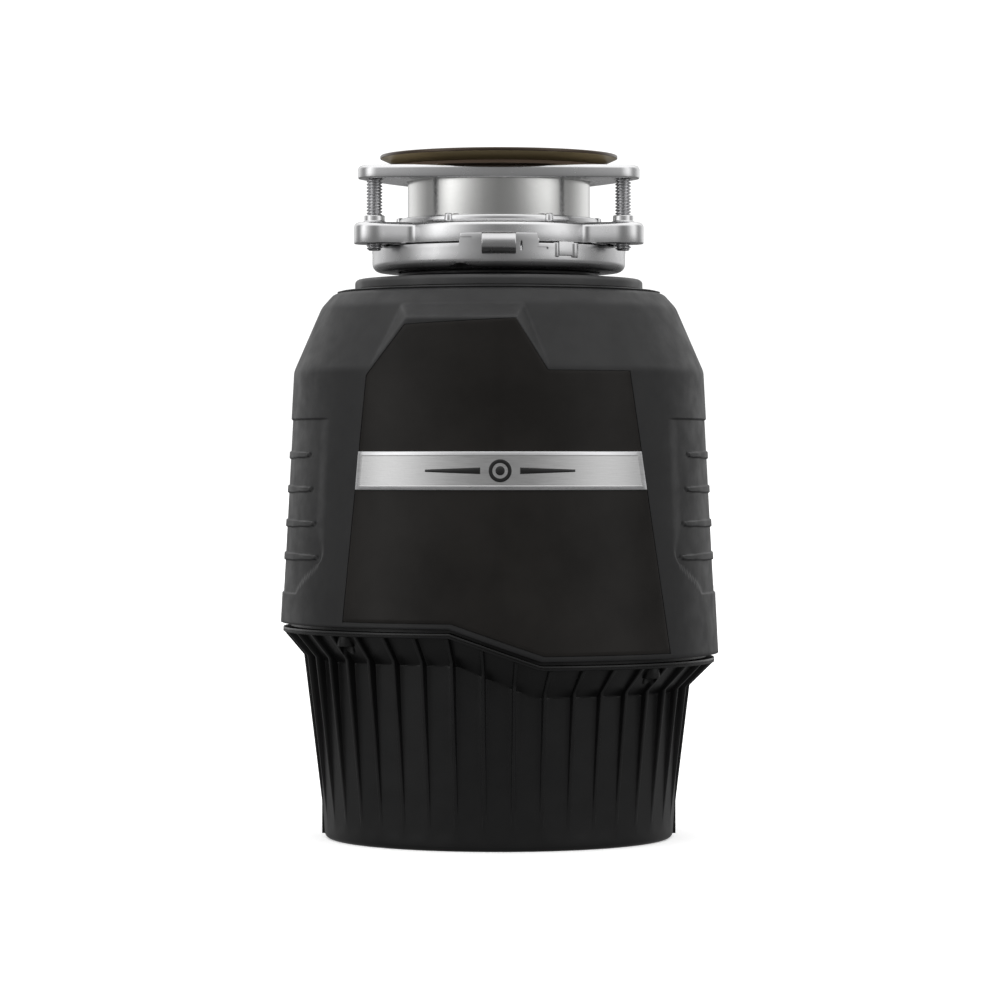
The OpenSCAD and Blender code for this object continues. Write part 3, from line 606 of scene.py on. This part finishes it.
def oval_outline(big, small, reach_x):
    """Outline of a disc with a rounded lobe on each side."""
    thetas = np.arange(0, 360, 2.5)

    def inside(x, y):
        lobes = circle_distance(np.abs(x), y, reach_x, 0, small)
        turn = math.acos((big - small) / reach_x)
        hull = convex_distance(np.abs(x), np.abs(y), [
            (0, 0), (reach_x + small, 0), (reach_x + small * math.cos(turn), small * math.sin(turn)),
            (big * math.cos(turn), big * math.sin(turn)), (0, big * math.sin(turn))])
        return np.minimum(np.minimum(circle_distance(x, y, 0, 0, big), lobes), hull)
    r = reach(inside, thetas, 0.0)
    sx, sy = direction(thetas)
    return list(zip(r * sx, r * sy))


PANEL = ((-71.3, 104.6), (-21.6, 104.6), (20.6, 90.0), (78.6, 90.0), (59.8, 219.2), (22.3, 219.2),
         (7.6, 242.8), (-42.8, 240.2), (-60.4, 217.3))
BADGE = ((-65.6, 165.0), (67.7, 165.0), (65.2, 182.4), (-64.2, 182.4))


def grow(outline, by):
    """An anticlockwise outline moved outwards."""
    pts = np.array(outline, float)
    out, n = [], len(pts)
    for i in range(n):
        d1, d2 = pts[i] - pts[i - 1], pts[(i + 1) % n] - pts[i]
        n1 = np.array([d1[1], -d1[0]]) / np.linalg.norm(d1)
        n2 = np.array([d2[1], -d2[0]]) / np.linalg.norm(d2)
        m = (n1 + n2) / (1 + n1 @ n2)
        out.append(tuple(pts[i] + m * by))
    return out


def side_counts(outline, step):
    return [max(1, math.ceil(math.dist(a, b) / step)) for a, b in zip(outline, outline[1:] + outline[:1])]


def resample(outline, counts):
    """Points along an outline, with the stated number on each side."""
    out = []
    for a, b, n in zip(outline, outline[1:] + outline[:1], counts):
        out += [(a[0] + (b[0] - a[0]) * i / n, a[1] + (b[1] - a[1]) * i / n) for i in range(n)]
    return np.array(out)


def on_wall(x, z, lift):
    """Point of the front wall above (x, z), lifted off it."""
    r = wall_r(z) + lift
    return np.column_stack([x, -np.sqrt(np.maximum(r * r - x * x, 1.0)), z])


def wall_patch(outline, lifts, step=2.0, inner=-0.6):
    """A thin closed piece on the front wall. lifts are (inset, lift) pairs from the outer edge inwards."""
    outline = [tuple(p) for p in outline]
    counts = side_counts(outline, step)
    rings = [(resample(outline, counts), inner)]
    rings += [(resample(grow(outline, -inset), counts), lift) for inset, lift in lifts]
    n = len(rings[0][0])
    verts = [on_wall(p[:, 0], p[:, 1], lift) for p, lift in rings]
    faces = bridge(len(rings), n, False)
    field, tris = fill(rings[-1][0], step)
    ids = list(range((len(rings) - 1) * n, len(rings) * n + len(field)))
    faces += [[ids[i] for i in t] for t in tris]
    back, back_tris = fill(rings[0][0], step * 2)
    base = len(rings) * n + len(field)
    ids = list(range(n)) + list(range(base, base + len(back)))
    faces += [[ids[t[0]], ids[t[2]], ids[t[1]]] for t in back_tris]
    verts += [on_wall(field[:, 0], field[:, 1], lifts[-1][1]), on_wall(back[:, 0], back[:, 1], inner)]
    return np.vstack(verts), faces


def fill(loop, step):
    """Triangles inside a loop with a grid of points added; returns the added points and the triangles."""
    pts = np.array(loop)
    extra = [(x, z) for x in np.arange(pts[:, 0].min() + step, pts[:, 0].max(), step)
             for z in np.arange(pts[:, 1].min() + step, pts[:, 1].max(), step * 2)
             if signed_inside(pts, x, z) > step * 0.6]
    flat = [Vector(p) for p in pts.tolist() + extra]
    n = len(pts)
    found = delaunay_2d_cdt(flat, [(i, (i + 1) % n) for i in range(n)], [], 1, 1e-6)
    pick = [o[0] for o in found[3]]
    tris = []
    for face in found[2]:
        a, b, c = (pick[i] for i in face)
        ccw = (flat[b] - flat[a]).cross(flat[c] - flat[a]) > 0
        tris.append([a, b, c] if ccw else [a, c, b])
    return np.array(extra).reshape(-1, 2), tris


def signed_inside(pts, x, z):
    """Distance from a point to a loop, positive inside."""
    a, b = pts, np.roll(pts, -1, 0)
    d = b - a
    p = np.array([x, z])
    t = np.clip(((p - a) * d).sum(1) / (d * d).sum(1), 0, 1)
    near = np.hypot(*(a + d * t[:, None] - p).T).min()
    cross = ((a[:, 1] > z) != (b[:, 1] > z)) & (x < (b[:, 0] - a[:, 0]) * (z - a[:, 1]) /
                                                np.where(b[:, 1] == a[:, 1], 1e-9, b[:, 1] - a[:, 1]) + a[:,
                                                                                                          0])
    return near if cross.sum() % 2 else -near


def panel_solid(by, low, high):
    """Cutter for the panel's recess: the panel's outline, grown, between two lifts off the wall."""
    outline = grow(PANEL, by)
    loop = resample(outline, side_counts(outline, 3.0))
    grid, tris = fill(loop, 3.0)
    pts = np.vstack([loop, grid])
    n, m = len(loop), len(pts)
    faces = [list(t) for t in tris] + [[t[0] + m, t[2] + m, t[1] + m] for t in tris]
    faces += [[j + m, (j + 1) % n + m, (j + 1) % n, j] for j in range(n)]
    return np.vstack([on_wall(pts[:, 0], pts[:, 1], high), on_wall(pts[:, 0], pts[:, 1], low)]), faces


make_upper_shell()
PANEL_EDGE = [(0.0, -0.25), (0.06, -0.08), (0.25, 0.0), (2.0, 0.0)]
add_mesh("front_panel_sheet", *wall_patch(PANEL, PANEL_EDGE, 2.0),
         M["panel"], "housing", ("front_panel",), "panel_gloss", 50)

badge = add_mesh("badge_face",
                 *wall_patch(BADGE, [(0.0, 0.5), (0.12, 0.62), (1.5, 0.98), (1.75, 0.98), (2.0, 0.86),
                                                   (2.4, 0.86)], 2.0, -0.05),
                 M["badge"], "housing", ("badge_plate",), "badge_metal", 20, (M["badge_edge"],),
                 lambda x, y, z: int(min(z - 165.0, 182.4 - z) < 1.5 or min(x + 65.6, 67.7 - x) < 1.4))


def badge_mark():
    """A plain ornament inlaid in the badge: a ring with a dot between two tapered bars."""
    parts = []
    cx, cz = 0.6, 173.7
    for side in (1, -1):
        bar = [(cx + side * a, cz + b) for a, b in ((9, -1.5), (34, -0.55), (34, 0.55), (9, 1.5))][::side]
        parts.append(wall_patch(bar, [(0.0, 0.93), (0.08, 0.98)], 1.5, 0.8))
    ring_mark = ngon(2.1, 40, cx, cz)
    parts.append(wall_patch(ring_mark, [(0.0, 0.93), (0.08, 0.98)], 1.5, 0.8))
    outer, inner = np.array(ngon(5.2, 64, cx, cz)), np.array(ngon(3.5, 64, cx, cz))
    rows = [on_wall(p[:, 0], p[:, 1], lift) for p, lift in
            ((outer, 0.8), (outer, 0.93), (cx_cz(outer, 0.985, cx, cz), 0.98),
             (cx_cz(inner, 1.03, cx, cz), 0.98),
             (inner, 0.93), (inner, 0.8))]
    parts.append((np.vstack(rows), bridge(6, 64, True)))
    return join(parts)


def cx_cz(points, scale, cx, cz):
    return (points - (cx, cz)) * scale + (cx, cz)


add_mesh("badge_ornament", *badge_mark(), M["ink"], "housing", sharp=40)

# ---------------------------------------------------------------- sink mount


def lobed(thetas, inset, side_r, end_r, end_d):
    """Radius of a three-sided plate with bulging sides and round ends at the screws."""
    phi = np.abs((thetas - EARS[0] + 60) % 120 - 60)
    psi = 60 - phi
    ex, ey = end_d * math.sin(math.radians(60)), end_d * math.cos(math.radians(60))
    c = math.sqrt((side_r - end_r) ** 2 - ex ** 2) - ey
    scale = side_r / (side_r - end_r)
    turn = math.degrees(math.atan2(ex * scale, (ey + c) * scale - c))
    big, small = side_r - inset, end_r - inset
    p, q = np.radians(psi), np.radians(phi)
    side = -c * np.cos(p) + np.sqrt(big ** 2 - (c * np.sin(p)) ** 2)
    end = end_d * np.cos(q) + np.sqrt(np.maximum(small ** 2 - (end_d * np.sin(q)) ** 2, 0))
    return np.where(psi < turn, side, end)


def screw_places():
    return [(SCREW_CIRCLE * math.sin(math.radians(a)),
             -SCREW_CIRCLE * math.cos(math.radians(a))) for a in EARS]


def edge_ring(outline, top, radius, steps=5, down=False):
    """Rows rounding an edge: outline(inset) gives the radii; top is the height of the flat face."""
    sign = -1 if down else 1
    rows = []
    for k in range(steps + 1):
        t = math.pi / 2 * k / steps
        rows.append((outline(radius * (1 - math.cos(t))), top - sign * radius * (1 - math.sin(t))))
    return rows


def make_backup_flange():
    z0, z1 = span("backup_flange", 2)
    thetas = graded([(0, 0.8), (50, 0.4), (70, 0.8), (170, 0.4), (190, 0.8), (290, 0.4), (310, 0.8),
                     (360, 1)])[:-1]

    def outline(inset):
        return lobed(thetas, inset, 270.0, 11.4, 62.8)
    rows = edge_ring(outline, z0, 0.9, 4, True)[::-1] + edge_ring(outline, z1, 2.0, 6)
    hole = 44.6
    rows += [(hole + 0.8, z1), (hole + 0.25, z1 - 0.25), (hole, z1 - 0.8), (hole, z0 + 1.6),
             (hole + 0.4, z0 + 0.7), (hole + 1.4, z0 + 0.1), (hole + 2.2, z0)]
    verts, faces = polar_loft(rows, thetas)
    plate_obj = add_mesh("backup_flange_plate", verts, faces, M["zinc"], "housing", ("backup_flange",),
                         "mount_zinc", 40)
    return cut(plate_obj, [placed(lathe([(0, z0 - 1), (4.3, z0 - 1), (4.3, z0 + 1.4), (0, z0 + 1.4)], 40),
                                  move=(x, y, 0)) for x, y in screw_places()])


def make_mounting_ring():
    z0, z1 = span("mounting_ring", 2)[0], EAR_TOP
    thetas = graded([(0, 0.6), (25, 0.35), (95, 0.6), (145, 0.35), (215, 0.6), (265, 0.35), (335, 0.6),
                     (360, 1)])[:-1]

    def shape(x, y):
        d = circle_distance(x, y, 0, 0, 55.0)
        for a in EARS:
            ca, sa = math.sin(math.radians(a)), -math.cos(math.radians(a))
            u, v = x * ca + y * sa, -x * sa + y * ca
            arm = convex_distance(u, v, [(40, -15.0), (68.8, -9.42), (68.8, 9.42), (40, 15.0)])
            d = soft_min(d, np.minimum(circle_distance(u, v, SCREW_CIRCLE, 0, 9.6), arm), 2.2)
        return d
    cache = {}

    def outline(inset):
        key = round(inset, 4)
        if key not in cache:
            cache[key] = reach(shape, thetas, inset, 90.0)
        return cache[key]
    rows = edge_ring(outline, z0, 0.7, 3, True)[::-1] + edge_ring(outline, z1, 2.4, 6)
    # from the rounded rim the top slopes up to the collar round the neck
    collar = 47.0
    rows += [(np.minimum(outline(4.0), 53.5), z1 + 0.1), (50.5, z1 + 0.35), (48.2, z1 + 0.75),
             (collar, z1 + 1.3),
             (collar, z1 + 2.4), (collar - 0.3, z1 + 3.05), (collar - 1.0, z1 + 3.4), (45.0, z1 + 3.4),
             (44.5, z1 + 3.2), (44.4, z1 + 2.8), (44.4, z1 - 2.5)]
    under = np.maximum(outline(2.6) - 0.5, 52.5)
    rows += [(52.0, z1 - 2.8), (under, z1 - 4.1), (outline(2.6), z1 - 4.6), (outline(2.6), z0 + 0.5),
             (outline(2.3), z0)]
    ring_obj = add_mesh("mounting_ring_casting", *polar_loft(rows, thetas), M["zinc"], "housing",
                        ("mounting_ring",),
                        "mount_zinc", 32)
    cut(ring_obj, [placed(lathe([(0, z0 - 1), (SCREW_BORE, z0 - 1), (SCREW_BORE, z1 + 2), (0, z1 + 2)], 40),
                          move=(x, y, 0)) for x, y in screw_places()])
    parts = []
    for x, y in screw_places():
        collar_shape = [(SCREW_BORE, z1 - 1.0), (5.9, z1 - 1.0), (5.9, z1 + 0.2, 0.1), (4.8, z1 + 0.5, 0.6),
                        (4.8, 292.7, 0.6), (SCREW_BORE, 292.7, 0.3)]
        boss_shape = [(SCREW_BORE, z0), (6.4, z0), (6.4, z1 - 3.0), (SCREW_BORE, z1 - 3.0)]
        parts.append(placed(lathe(rounded(collar_shape, 0.3), 48), move=(x, y, 0)))
        parts.append(placed(lathe(rounded(boss_shape, 0.4), 48), move=(x, y, 0)))
    for k in range(6):
        a = math.radians(30 + 60 * k)
        parts.append(placed(lathe(rounded([(0, z1 + 0.2, 0), (2.1, z1 + 0.2, 0), (1.75, z1 + 4.0, 0.7),
                                           (0, z1 + 4.0, 0)], 0.7), 32),
                            move=(46.8 * math.sin(a), -46.8 * math.cos(a), 0)))
    parts.append(lathe(rounded([(52.5, z0), (54.9, z0), (54.9, z1 - 2.7), (52.5, z1 - 2.7)], 0.4), 180))
    for a in TABS:
        parts.append(lathe(rounded([(54.5, z0), (57.3, z0), (57.3, z0 + 1.7), (54.5, z0 + 1.7)], 0.35), 20,
                           a + 9.0, a + 19.0))
    add_mesh("mounting_ring_details", *join(parts), M["zinc"], "housing", slot="mount_zinc", sharp=40)


def make_screw(name, x, y):
    """A threaded screw with a slot across its lower end and a chamfer at both ends."""
    z0, z1 = span(name, 2)
    major, minor, pitch, count = 3.7, 2.95, 1.5, 36
    thetas = np.arange(count) * 360.0 / count
    zs = graded([(z0, 0.2), (z0 + 0.6, pitch / 10), (z1 - 0.6, 0.2), (z1, 1)])
    t, z = np.meshgrid(thetas, zs)
    wave = np.abs(((z / pitch - t / 360.0) % 1.0) - 0.5) * 2
    r = minor + (major - minor) * soft_step(wave, 0.15, 0.75)
    ends = np.minimum(z - z0, z1 - z)
    r = np.minimum(r, minor - 0.35 + ends * 1.1)
    sx, sy = direction(thetas)
    grid = np.stack([r * sx, r * sy, z], 2).reshape(-1, 3)
    faces = bridge(len(zs), count, False)
    faces += [list(range(count))[::-1], list(range(len(grid) - count, len(grid)))]
    obj = add_mesh(name + "_thread", *placed((grid, faces), move=(x, y, 0)), M["screw"], name, (name,),
                   "screw_steel", 30)
    slot = plate([(x - 5, y - 0.6), (x + 5, y - 0.6), (x + 5, y + 0.6), (x - 5, y + 0.6)], [], z0 - 1,
                 z0 + 2.8, 0.02)
    return cut(obj, [slot])


def make_lock_ring():
    z0 = span("lock_ring", 2)[0]
    outer, inner, corner = 60.0, 57.8, 4.0
    thetas = graded([(-60, 0.8), (-26, 0.3), (-12, 0.4), (30, 0.8), (60, 0.8), (96, 0.4), (144, 0.8),
                     (216, 0.4),
                     (264, 0.8), (300, 1)])[:-1]
    near_tab = np.min([np.abs((thetas - a + 180) % 360 - 180) for a in TABS], 0)
    top = 278.8 + (283.5 - 278.8) * (1 - soft_step(near_tab, 17.2, 18.0))
    notch = 1.7 * np.clip(1 - np.abs(thetas + 17.6) / 7.0, 0, 1)
    rows = [(np.full_like(thetas, 48.5), z0 + notch * 0), (54.0, z0 + notch * 0.6)]
    for k in range(7):
        t = math.pi / 2 * k / 6
        rows.append((outer - corner + corner * math.sin(t),
                     np.maximum(z0 + corner * (1 - math.cos(t)), z0 + notch + 0.12 * k)))
    for share in (0.15, 0.4, 0.7):
        rows.append((outer, z0 + 6.2 + (top - 0.7 - z0 - 6.2) * share))
    rows += [(outer, top - 0.7), (outer - 0.2, top - 0.2), (outer - 0.7, top), (inner + 0.6, top),
             (inner + 0.15, top - 0.15),
             (inner, top - 0.6), (inner, z0 + 6.4), (56.6, z0 + 2.9 + notch * 0.5),
             (54.0, z0 + 2.2 + notch * 0.6),
             (48.6, z0 + 2.2), (48.1, z0 + 1.9), (48.1, z0 + 0.3)]
    ring_obj = add_mesh("lock_ring_band", *polar_loft(rows, thetas), M["lock"], "lock_ring", ("lock_ring",),
                        "lock_steel", 32)

    def slot_cutter(low, high, z_low, z_high, deep=0.8):
        return lathe([(outer - deep, z_low), (outer + 3, z_low), (outer + 3, z_high), (outer - deep, z_high)],
                     8, low, high)
    cut(ring_obj, [slot_cutter(-21.5, -12.0, 280.5, 281.6, 1.2), slot_cutter(9.6, 10.4, 276.0, 278.4),
                   slot_cutter(17.3, 22.4, 275.9, 277.0, 1.0)])
    parts = []
    for a in TABS:
        tube = lathe(rounded([(3.0, -8.0), (5.2, -8.0), (5.2, 8.0), (3.0, 8.0)], 0.55), 48)
        parts.append(placed(placed(tube, tilt="y", move=(0, -60.8, 278.7)), turn=a))
        parts.append(lathe(rounded([(55.4, 281.3), (58.6, 281.3), (58.6, 283.2), (55.4, 283.2)], 0.3), 16,
                           a + 10, a + 17))
    for turn, r, z_low, z_high in ((26.6, 1.5, 272.3, 279.1), (35.8, 2.3, 272.3, 279.1)):
        x, y = 59.0 * math.sin(math.radians(turn)), -59.0 * math.cos(math.radians(turn))
        parts.append(placed(lathe(rounded([(0, z_low, 0), (r, z_low), (r, z_high), (0, z_high, 0)], 0.5), 32),
                            move=(x, y, 0)))
    parts.append(lathe(rounded([(58.8, 273.0), (60.6, 273.0), (60.6, 279.6), (58.8, 279.6)], 0.3), 12, 27.5,
                       35.0))
    add_mesh("lock_ring_lugs", *join(parts), M["lock"], "lock_ring", slot="lock_steel", sharp=40)


def rim_painted_light_zones(x, y, z):
    """Which material a face of the sink flange gets: bright steel on the neck and bowl, a brown-gold painted
    reflection on the underside, near-black painted shade on the lip.
    """
    r = math.hypot(x, y)
    # the rim's lip: painted shade
    if z > 321.2 and r > 54.6:
        return 2
    # the underside: painted reflection
    return int(z > 314.8 and z < 318.0 + (r - 46.6) * 0.46 and r > 43.0)


make_backup_flange()
make_mounting_ring()
for screw, (sx0, sy0) in zip(("mount_screw_right", "mount_screw_rear", "mount_screw_left"), screw_places()):
    make_screw(screw, sx0, sy0)
make_lock_ring()
# One steel part with a painted reflection on its underside and painted shade on its lip, picked face by face.
add_mesh("sink_flange_turned", *lathe(rounded([
    (40.0, 280.6), (43.2, 280.6), (43.2, 282.8, 0.1), (42.3, 282.8, 0.1), (42.3, 285.2, 0.1),
    (43.2, 285.2, 0.1),
    (43.2, 314.2, 2.0), (46.6, 317.2, 2.0), (56.3, 321.5, 0.3), (56.3, 323.0, 0.9), (54.0, 323.0, 0.8),
    (41.4, 315.4, 4.0), (41.4, 303.0, 0.6), (40.0, 303.0, 0.3)], 0.3, 5), 240),
    M["flange"], "housing", ("sink_flange",), "flange_steel", 40, (M["flange_underside_painted_reflection"], M["flange_lip_painted_shade"]),
    rim_painted_light_zones)
add_mesh("neck_seal", *join([
    lathe(rounded([(38, 266.4), (44.3, 266.4), (44.3, 259.6), (46.9, 259.6, 0.1), (46.3, 262.6, 0.6),
                   (46.9, 263.4, 0.5),
                   (46.3, 264.6, 0.5), (47.3, 265.6, 0.5), (47.3, 266.8, 0.4), (46.2, 267.2, 0.3),
                   (46.0, 270.3, 0.3),
                   (53.9, 270.3), (53.9, 278.8), (43.5, 278.8), (43.5, 280.6), (38, 280.6)], 0.4, 4), 200),
    placed(lathe(rounded([(0, -1.0, 0), (1.0, -1.0), (1.0, 1.0), (0, 1.0, 0)], 0.4), 20), tilt="x",
           move=(0, -46.4, 264.8))]),
    M["rubber"], "housing", ("mounting_gasket",), "soft_rubber", 40)
add_mesh("top_cap_cover",
         *lathe(rounded([(46.9, 259.3, 0.2), (68.2, 259.3, 0.2), (68.2, 264.0, 2.8), (60.0, 264.0, 0),
                                          (50.0, 263.9, 0), (46.9, 263.9, 0.6)], 0.3, 8), 240),
         M["cap"], "housing", ("top_cap",), "cap_plastic", 40)

# ---------------------------------------------------------------- lower shell
def fin_columns():
    """Angles of the columns and how far each stands out: 0 on the wall, 1 on the crest of a fin."""
    pitch, r_mean = 360.0 / FIN_COUNT, 88.0
    to_deg = math.degrees(1 / r_mean)
    offsets = ((-1.5, 0.0), (-1.0, 0.06), (-0.86, 0.55), (-0.80, 0.86), (-0.62, 0.97), (-0.36, 1.0),
               (0.0, 1.0),
               (0.36, 1.0), (0.62, 0.97), (0.80, 0.86), (0.86, 0.55), (1.0, 0.06), (1.5, 0.0))
    angles, share = [], []
    for i in range(FIN_COUNT):
        centre = (i + 0.5) * pitch
        for t, f in offsets:
            angles.append(centre + t * to_deg)
            share.append(f)
        for step in np.linspace(0, 1, 7)[1:-1]:
            angles.append(centre + 1.5 * to_deg + (pitch - 3.0 * to_deg) * step)
            share.append(0.0)
    return np.array(angles), np.array(share)


def boss_places():
    """Place of each shell screw, with the height of the gap above it."""
    places = [(BOSS_CIRCLE * math.sin(math.radians(a)),
               -BOSS_CIRCLE * math.cos(math.radians(a))) for a in BOSSES]
    return [(x, y, float(seam_z(x)) - SEAM_GAP) for x, y in places]


def make_lower_shell():
    thetas, share = fin_columns()
    sx = direction(thetas)[0]
    base = seam_z(RIM_R * sx) - SEAM_GAP - RIM_H          # underside of the rim
    mid = (thetas % (360.0 / FIN_COUNT))
    mid = np.minimum(mid, 360.0 / FIN_COUNT - mid)        # angle from the middle of a wall panel
    flat = math.cos(math.radians(3.6)) / np.cos(np.radians(np.minimum(mid, 3.6)))
    corner_z = base - 11.0
    corner = 83.5 + 0.127 * (corner_z - 17.0)
    foot_r = skirt_r(base - FUNNEL_H)
    fade_z = 5.5
    fin_low = skirt_r(fade_z) - 0.3

    def fin_radius(z):
        low = fin_low + (corner - fin_low) * (z - fade_z) / (corner_z - fade_z)
        high = corner + (RIM_R - 0.5 - corner) * (z - corner_z) / 11.0
        return soft_min(np.where(z < corner_z, low, 1e3), np.where(z < corner_z, 1e3, high), 0.01)

    def wall(z):
        below = skirt_r(z) * (1 + (flat - 1) * soft_step(z, 4.0, 9.0))
        flare = foot_r - 0.45 + (98.5 - foot_r + 0.45) * (z - base + FUNNEL_H) / FUNNEL_H
        return np.where(z < base - FUNNEL_H + 0.01, below, flare)

    def row(z):
        inner = wall(z)
        return inner + np.maximum(fin_radius(z) - inner, 0.0) * share

    rows = [(79.2, 0.0)]
    for k in range(1, 7):
        t = math.pi / 2 * k / 6
        rows.append((SKIRT_R - 2.6 + 2.75 * math.sin(t), 2.6 * (1 - math.cos(t))))
    for z in (4.0, 5.0, 5.6, 6.4, 7.6, 9.0, 11.5, 15.0):
        z = np.full_like(thetas, z)
        rows.append((row(z), z))
    for part in (0.08, 0.18, 0.3, 0.45, 0.6, 0.75, 0.88, 0.96):
        z = 15.0 + (base - FUNNEL_H - 1.0 - 15.0) * part
        rows.append((row(z), z))
    for dz in (-13.5, -13.12, -13.0):
        z = base + dz
        rows.append((row(z) - (0.12 if dz > -13.05 else 0.0) * (share < 0.01), z))
    for dz in (-12.75, -12.3, -11.6, -11.15, -10.85, -10.3, -8.0, -5.0, -2.5, -1.0, -0.35):
        z = base + dz
        rows.append((row(z), z))
    z = base - 0.02
    rows.append((row(z), z))
    for r, dz in ((101.75, 0.0), (102.05, 0.12), (102.2, 0.4), (102.2, 0.95), (101.85, 1.1), (101.85, 1.3),
                  (102.2, 1.45),
                  (102.2, 2.0), (102.05, 2.28), (101.75, 2.4), (98.5, 2.4), (98.3, 2.6), (98.3, 6.3),
                  (98.0, 6.6),
                  (96.4, 6.6), (96.1, 6.3), (95.6, 0.0)):
        rows.append((r, base + dz))
    rows += [(foot_r - 3.4, base - FUNNEL_H + 1.0), (skirt_r(30.0) - 3.0, 30.0), (SKIRT_R - 3.0, 5.5),
             (78.2, 4.3),
             (77.0, 4.0)]
    # floor, with the key hole in its middle
    for r in (66.0, 50.0, 30.0, 14.0):
        rows.append((r, 4.0))
    rows += [(8.4, 4.0), (8.0, 3.6), (8.0, 0.5), (8.5, 0.0), (14.0, 0.0), (30.0, 0.0), (50.0, 0.0),
             (66.0, 0.0)]
    obj = add_mesh("lower_shell_skin", *polar_loft(rows, thetas), M["skirt"], "housing", ("lower_shell",),
                   "skirt_plastic", 34)
    cutters = []
    for x, y, high in boss_places():
        cutters.append(placed(lathe([(0, high - 14), (3.7, high - 14), (3.7, high - 4), (0, high - 4)], 32),
                              move=(x, y, 0)))
    cutters.append(placed(lathe([(0, -1), (5, -1), (5, 6), (0, 6)], 48), move=(0, -44, 0)))
    cutters.append(plate([(-26, 26), (26, 26), (26, 62), (-26, 62)], [], -1, 6, 0.05))
    cutters.append(plate(rounded([(-33.3, 22.7), (33.3, 22.7), (33.3, 65.3), (-33.3, 65.3)], 2.0), [], -1,
                         2.2, 0.05))
    for x in (-29.5, 29.5):
        cutters.append(placed(lathe([(0, -1), (1.6, -1), (1.6, 6), (0, 6)], 24), move=(x, 44, 0)))
    cutters.append(placed(lathe([(0, -1), (5, -1), (5, 2), (2, 2), (2, 6), (0, 6)], 36), move=(46, 34, 0)))
    cut(obj, cutters)
    # parting ribs low on both sides, and the screw bosses tucked up under the rim
    parts = []
    for side in (1, -1):
        rib = plate(rounded([(80.0, -0.8), (83.9, -0.8), (83.9, 0.8), (80.0, 0.8)], 0.25), [], 1.5, 20.5,
                    0.25)
        parts.append((rib[0] * [side, side, 1], rib[1]))
    for x, y, high in boss_places():
        sleeve = [(3.6, high - 7.2), (4.6, high - 7.2), (4.6, high - 0.4), (3.6, high - 0.4)]
        stop = [(1.8, high - 4.0), (3.9, high - 4.0), (3.9, high - 0.4), (1.8, high - 0.4)]
        parts.append(placed(lathe(rounded(sleeve, 0.35), 40), move=(x, y, 0)))
        parts.append(placed(lathe(stop, 40), move=(x, y, 0)))
    add_mesh("lower_shell_bosses", *join(parts), M["skirt"], "housing", slot="skirt_plastic", sharp=40)


make_lower_shell()

# ---------------------------------------------------------------- light, floor, camera
def tent():
    """A room round the object that only lights it: pale sides and top, a dim front and two soft boxes."""
    p_mat = bpy.data.materials.new("studio_light")
    p_mat.use_nodes = True
    tree = p_mat.node_tree
    tree.nodes.clear()
    out = tree.nodes.new("ShaderNodeOutputMaterial")
    emit = tree.nodes.new("ShaderNodeEmission")
    attr = tree.nodes.new("ShaderNodeAttribute")
    attr.attribute_name = "glow"
    tree.links.new(attr.outputs["Fac"], emit.inputs["Strength"])
    tree.links.new(emit.outputs[0], out.inputs[0])
    rows, cols, radius = 36, 144, 4.0
    verts, glow = [], []
    for i in range(rows + 1):
        el = -89.9 + 179.8 * i / rows
        for j in range(cols):
            az = -180 + 360 * j / cols
            sx, sy = direction(az)
            verts.append((radius * math.cos(math.radians(el)) * sx, radius * math.cos(math.radians(el)) * sy,
                          radius * math.sin(math.radians(el)) + 0.15))
            glow.append(brightness(az, el))
    faces = [f[::-1] for f in bridge(rows + 1, cols, False)]
    mesh = bpy.data.meshes.new("studio_tent")
    mesh.from_pydata(verts, [], faces)
    a = mesh.attributes.new("glow", "FLOAT", "POINT")
    a.data.foreach_set("value", np.array(glow, np.float32))
    mesh.materials.append(p_mat)
    obj = bpy.data.objects.new("studio_tent", mesh)
    bpy.context.scene.collection.objects.link(obj)
    obj.visible_camera = False
    obj.visible_shadow = False


def brightness(az, el):
    """Light coming from a direction."""
    side = np.interp(az, [-180, -166, -150, -134, -115, -100, -90, -82, -74, -64, -55, -44, -32, -18, 0,
                          18, 32, 44, 54, 66, 76, 86, 98, 110, 134, 150, 166, 180],
                     [0.35, 0.6, 1.15, 1.1, 0.65, 0.35, 0.4, 0.75, 1.5, 2.0, 1.75, 1.2, 0.75, 0.4, 0.26,
                      0.35, 0.65, 1.1, 1.4, 1.55, 1.0, 0.5, 0.38, 0.6, 1.1, 1.15, 0.6, 0.35])
    top = 1.6
    lift = soft_step(np.array(el, float), 18.0, 50.0)
    value = side * (1 - lift) + top * lift
    if el < -3:
        value = 0.25
    return float(value)


tent()
bpy.ops.mesh.primitive_plane_add(size=60, location=(0, 0, 0))
floor = bpy.context.object
floor.name = "floor"
floor_paint = Paint("floor_white", (0.9, 0.9, 0.9), 0.95, spec=0.0)
floor_paint.set("Emission Color", (1, 1, 1, 1))
floor_paint.set("Emission Strength", 0.35)
floor.visible_glossy = False
floor.visible_diffuse = False
floor.data.materials.append(floor_paint.mat)

world = bpy.data.worlds.new("studio")
bpy.context.scene.world = world
world.use_nodes = True
world.node_tree.nodes["Background"].inputs["Color"].default_value = (1, 1, 1, 1)
world.node_tree.nodes["Background"].inputs["Strength"].default_value = 1.15
bpy.context.scene.view_settings.view_transform = "Standard"

camera_data = bpy.data.cameras.new("camera")
camera = bpy.data.objects.new("camera", camera_data)
bpy.context.scene.collection.objects.link(camera)
camera.location = (0.0, -1.947, 0.1772)
camera.rotation_euler = (math.radians(90), 0, 0)
camera_data.sensor_width = 36
camera_data.lens = 147.6
camera_data.shift_x = 0.0012
camera_data.shift_y = -0.037
bpy.context.scene.camera = camera
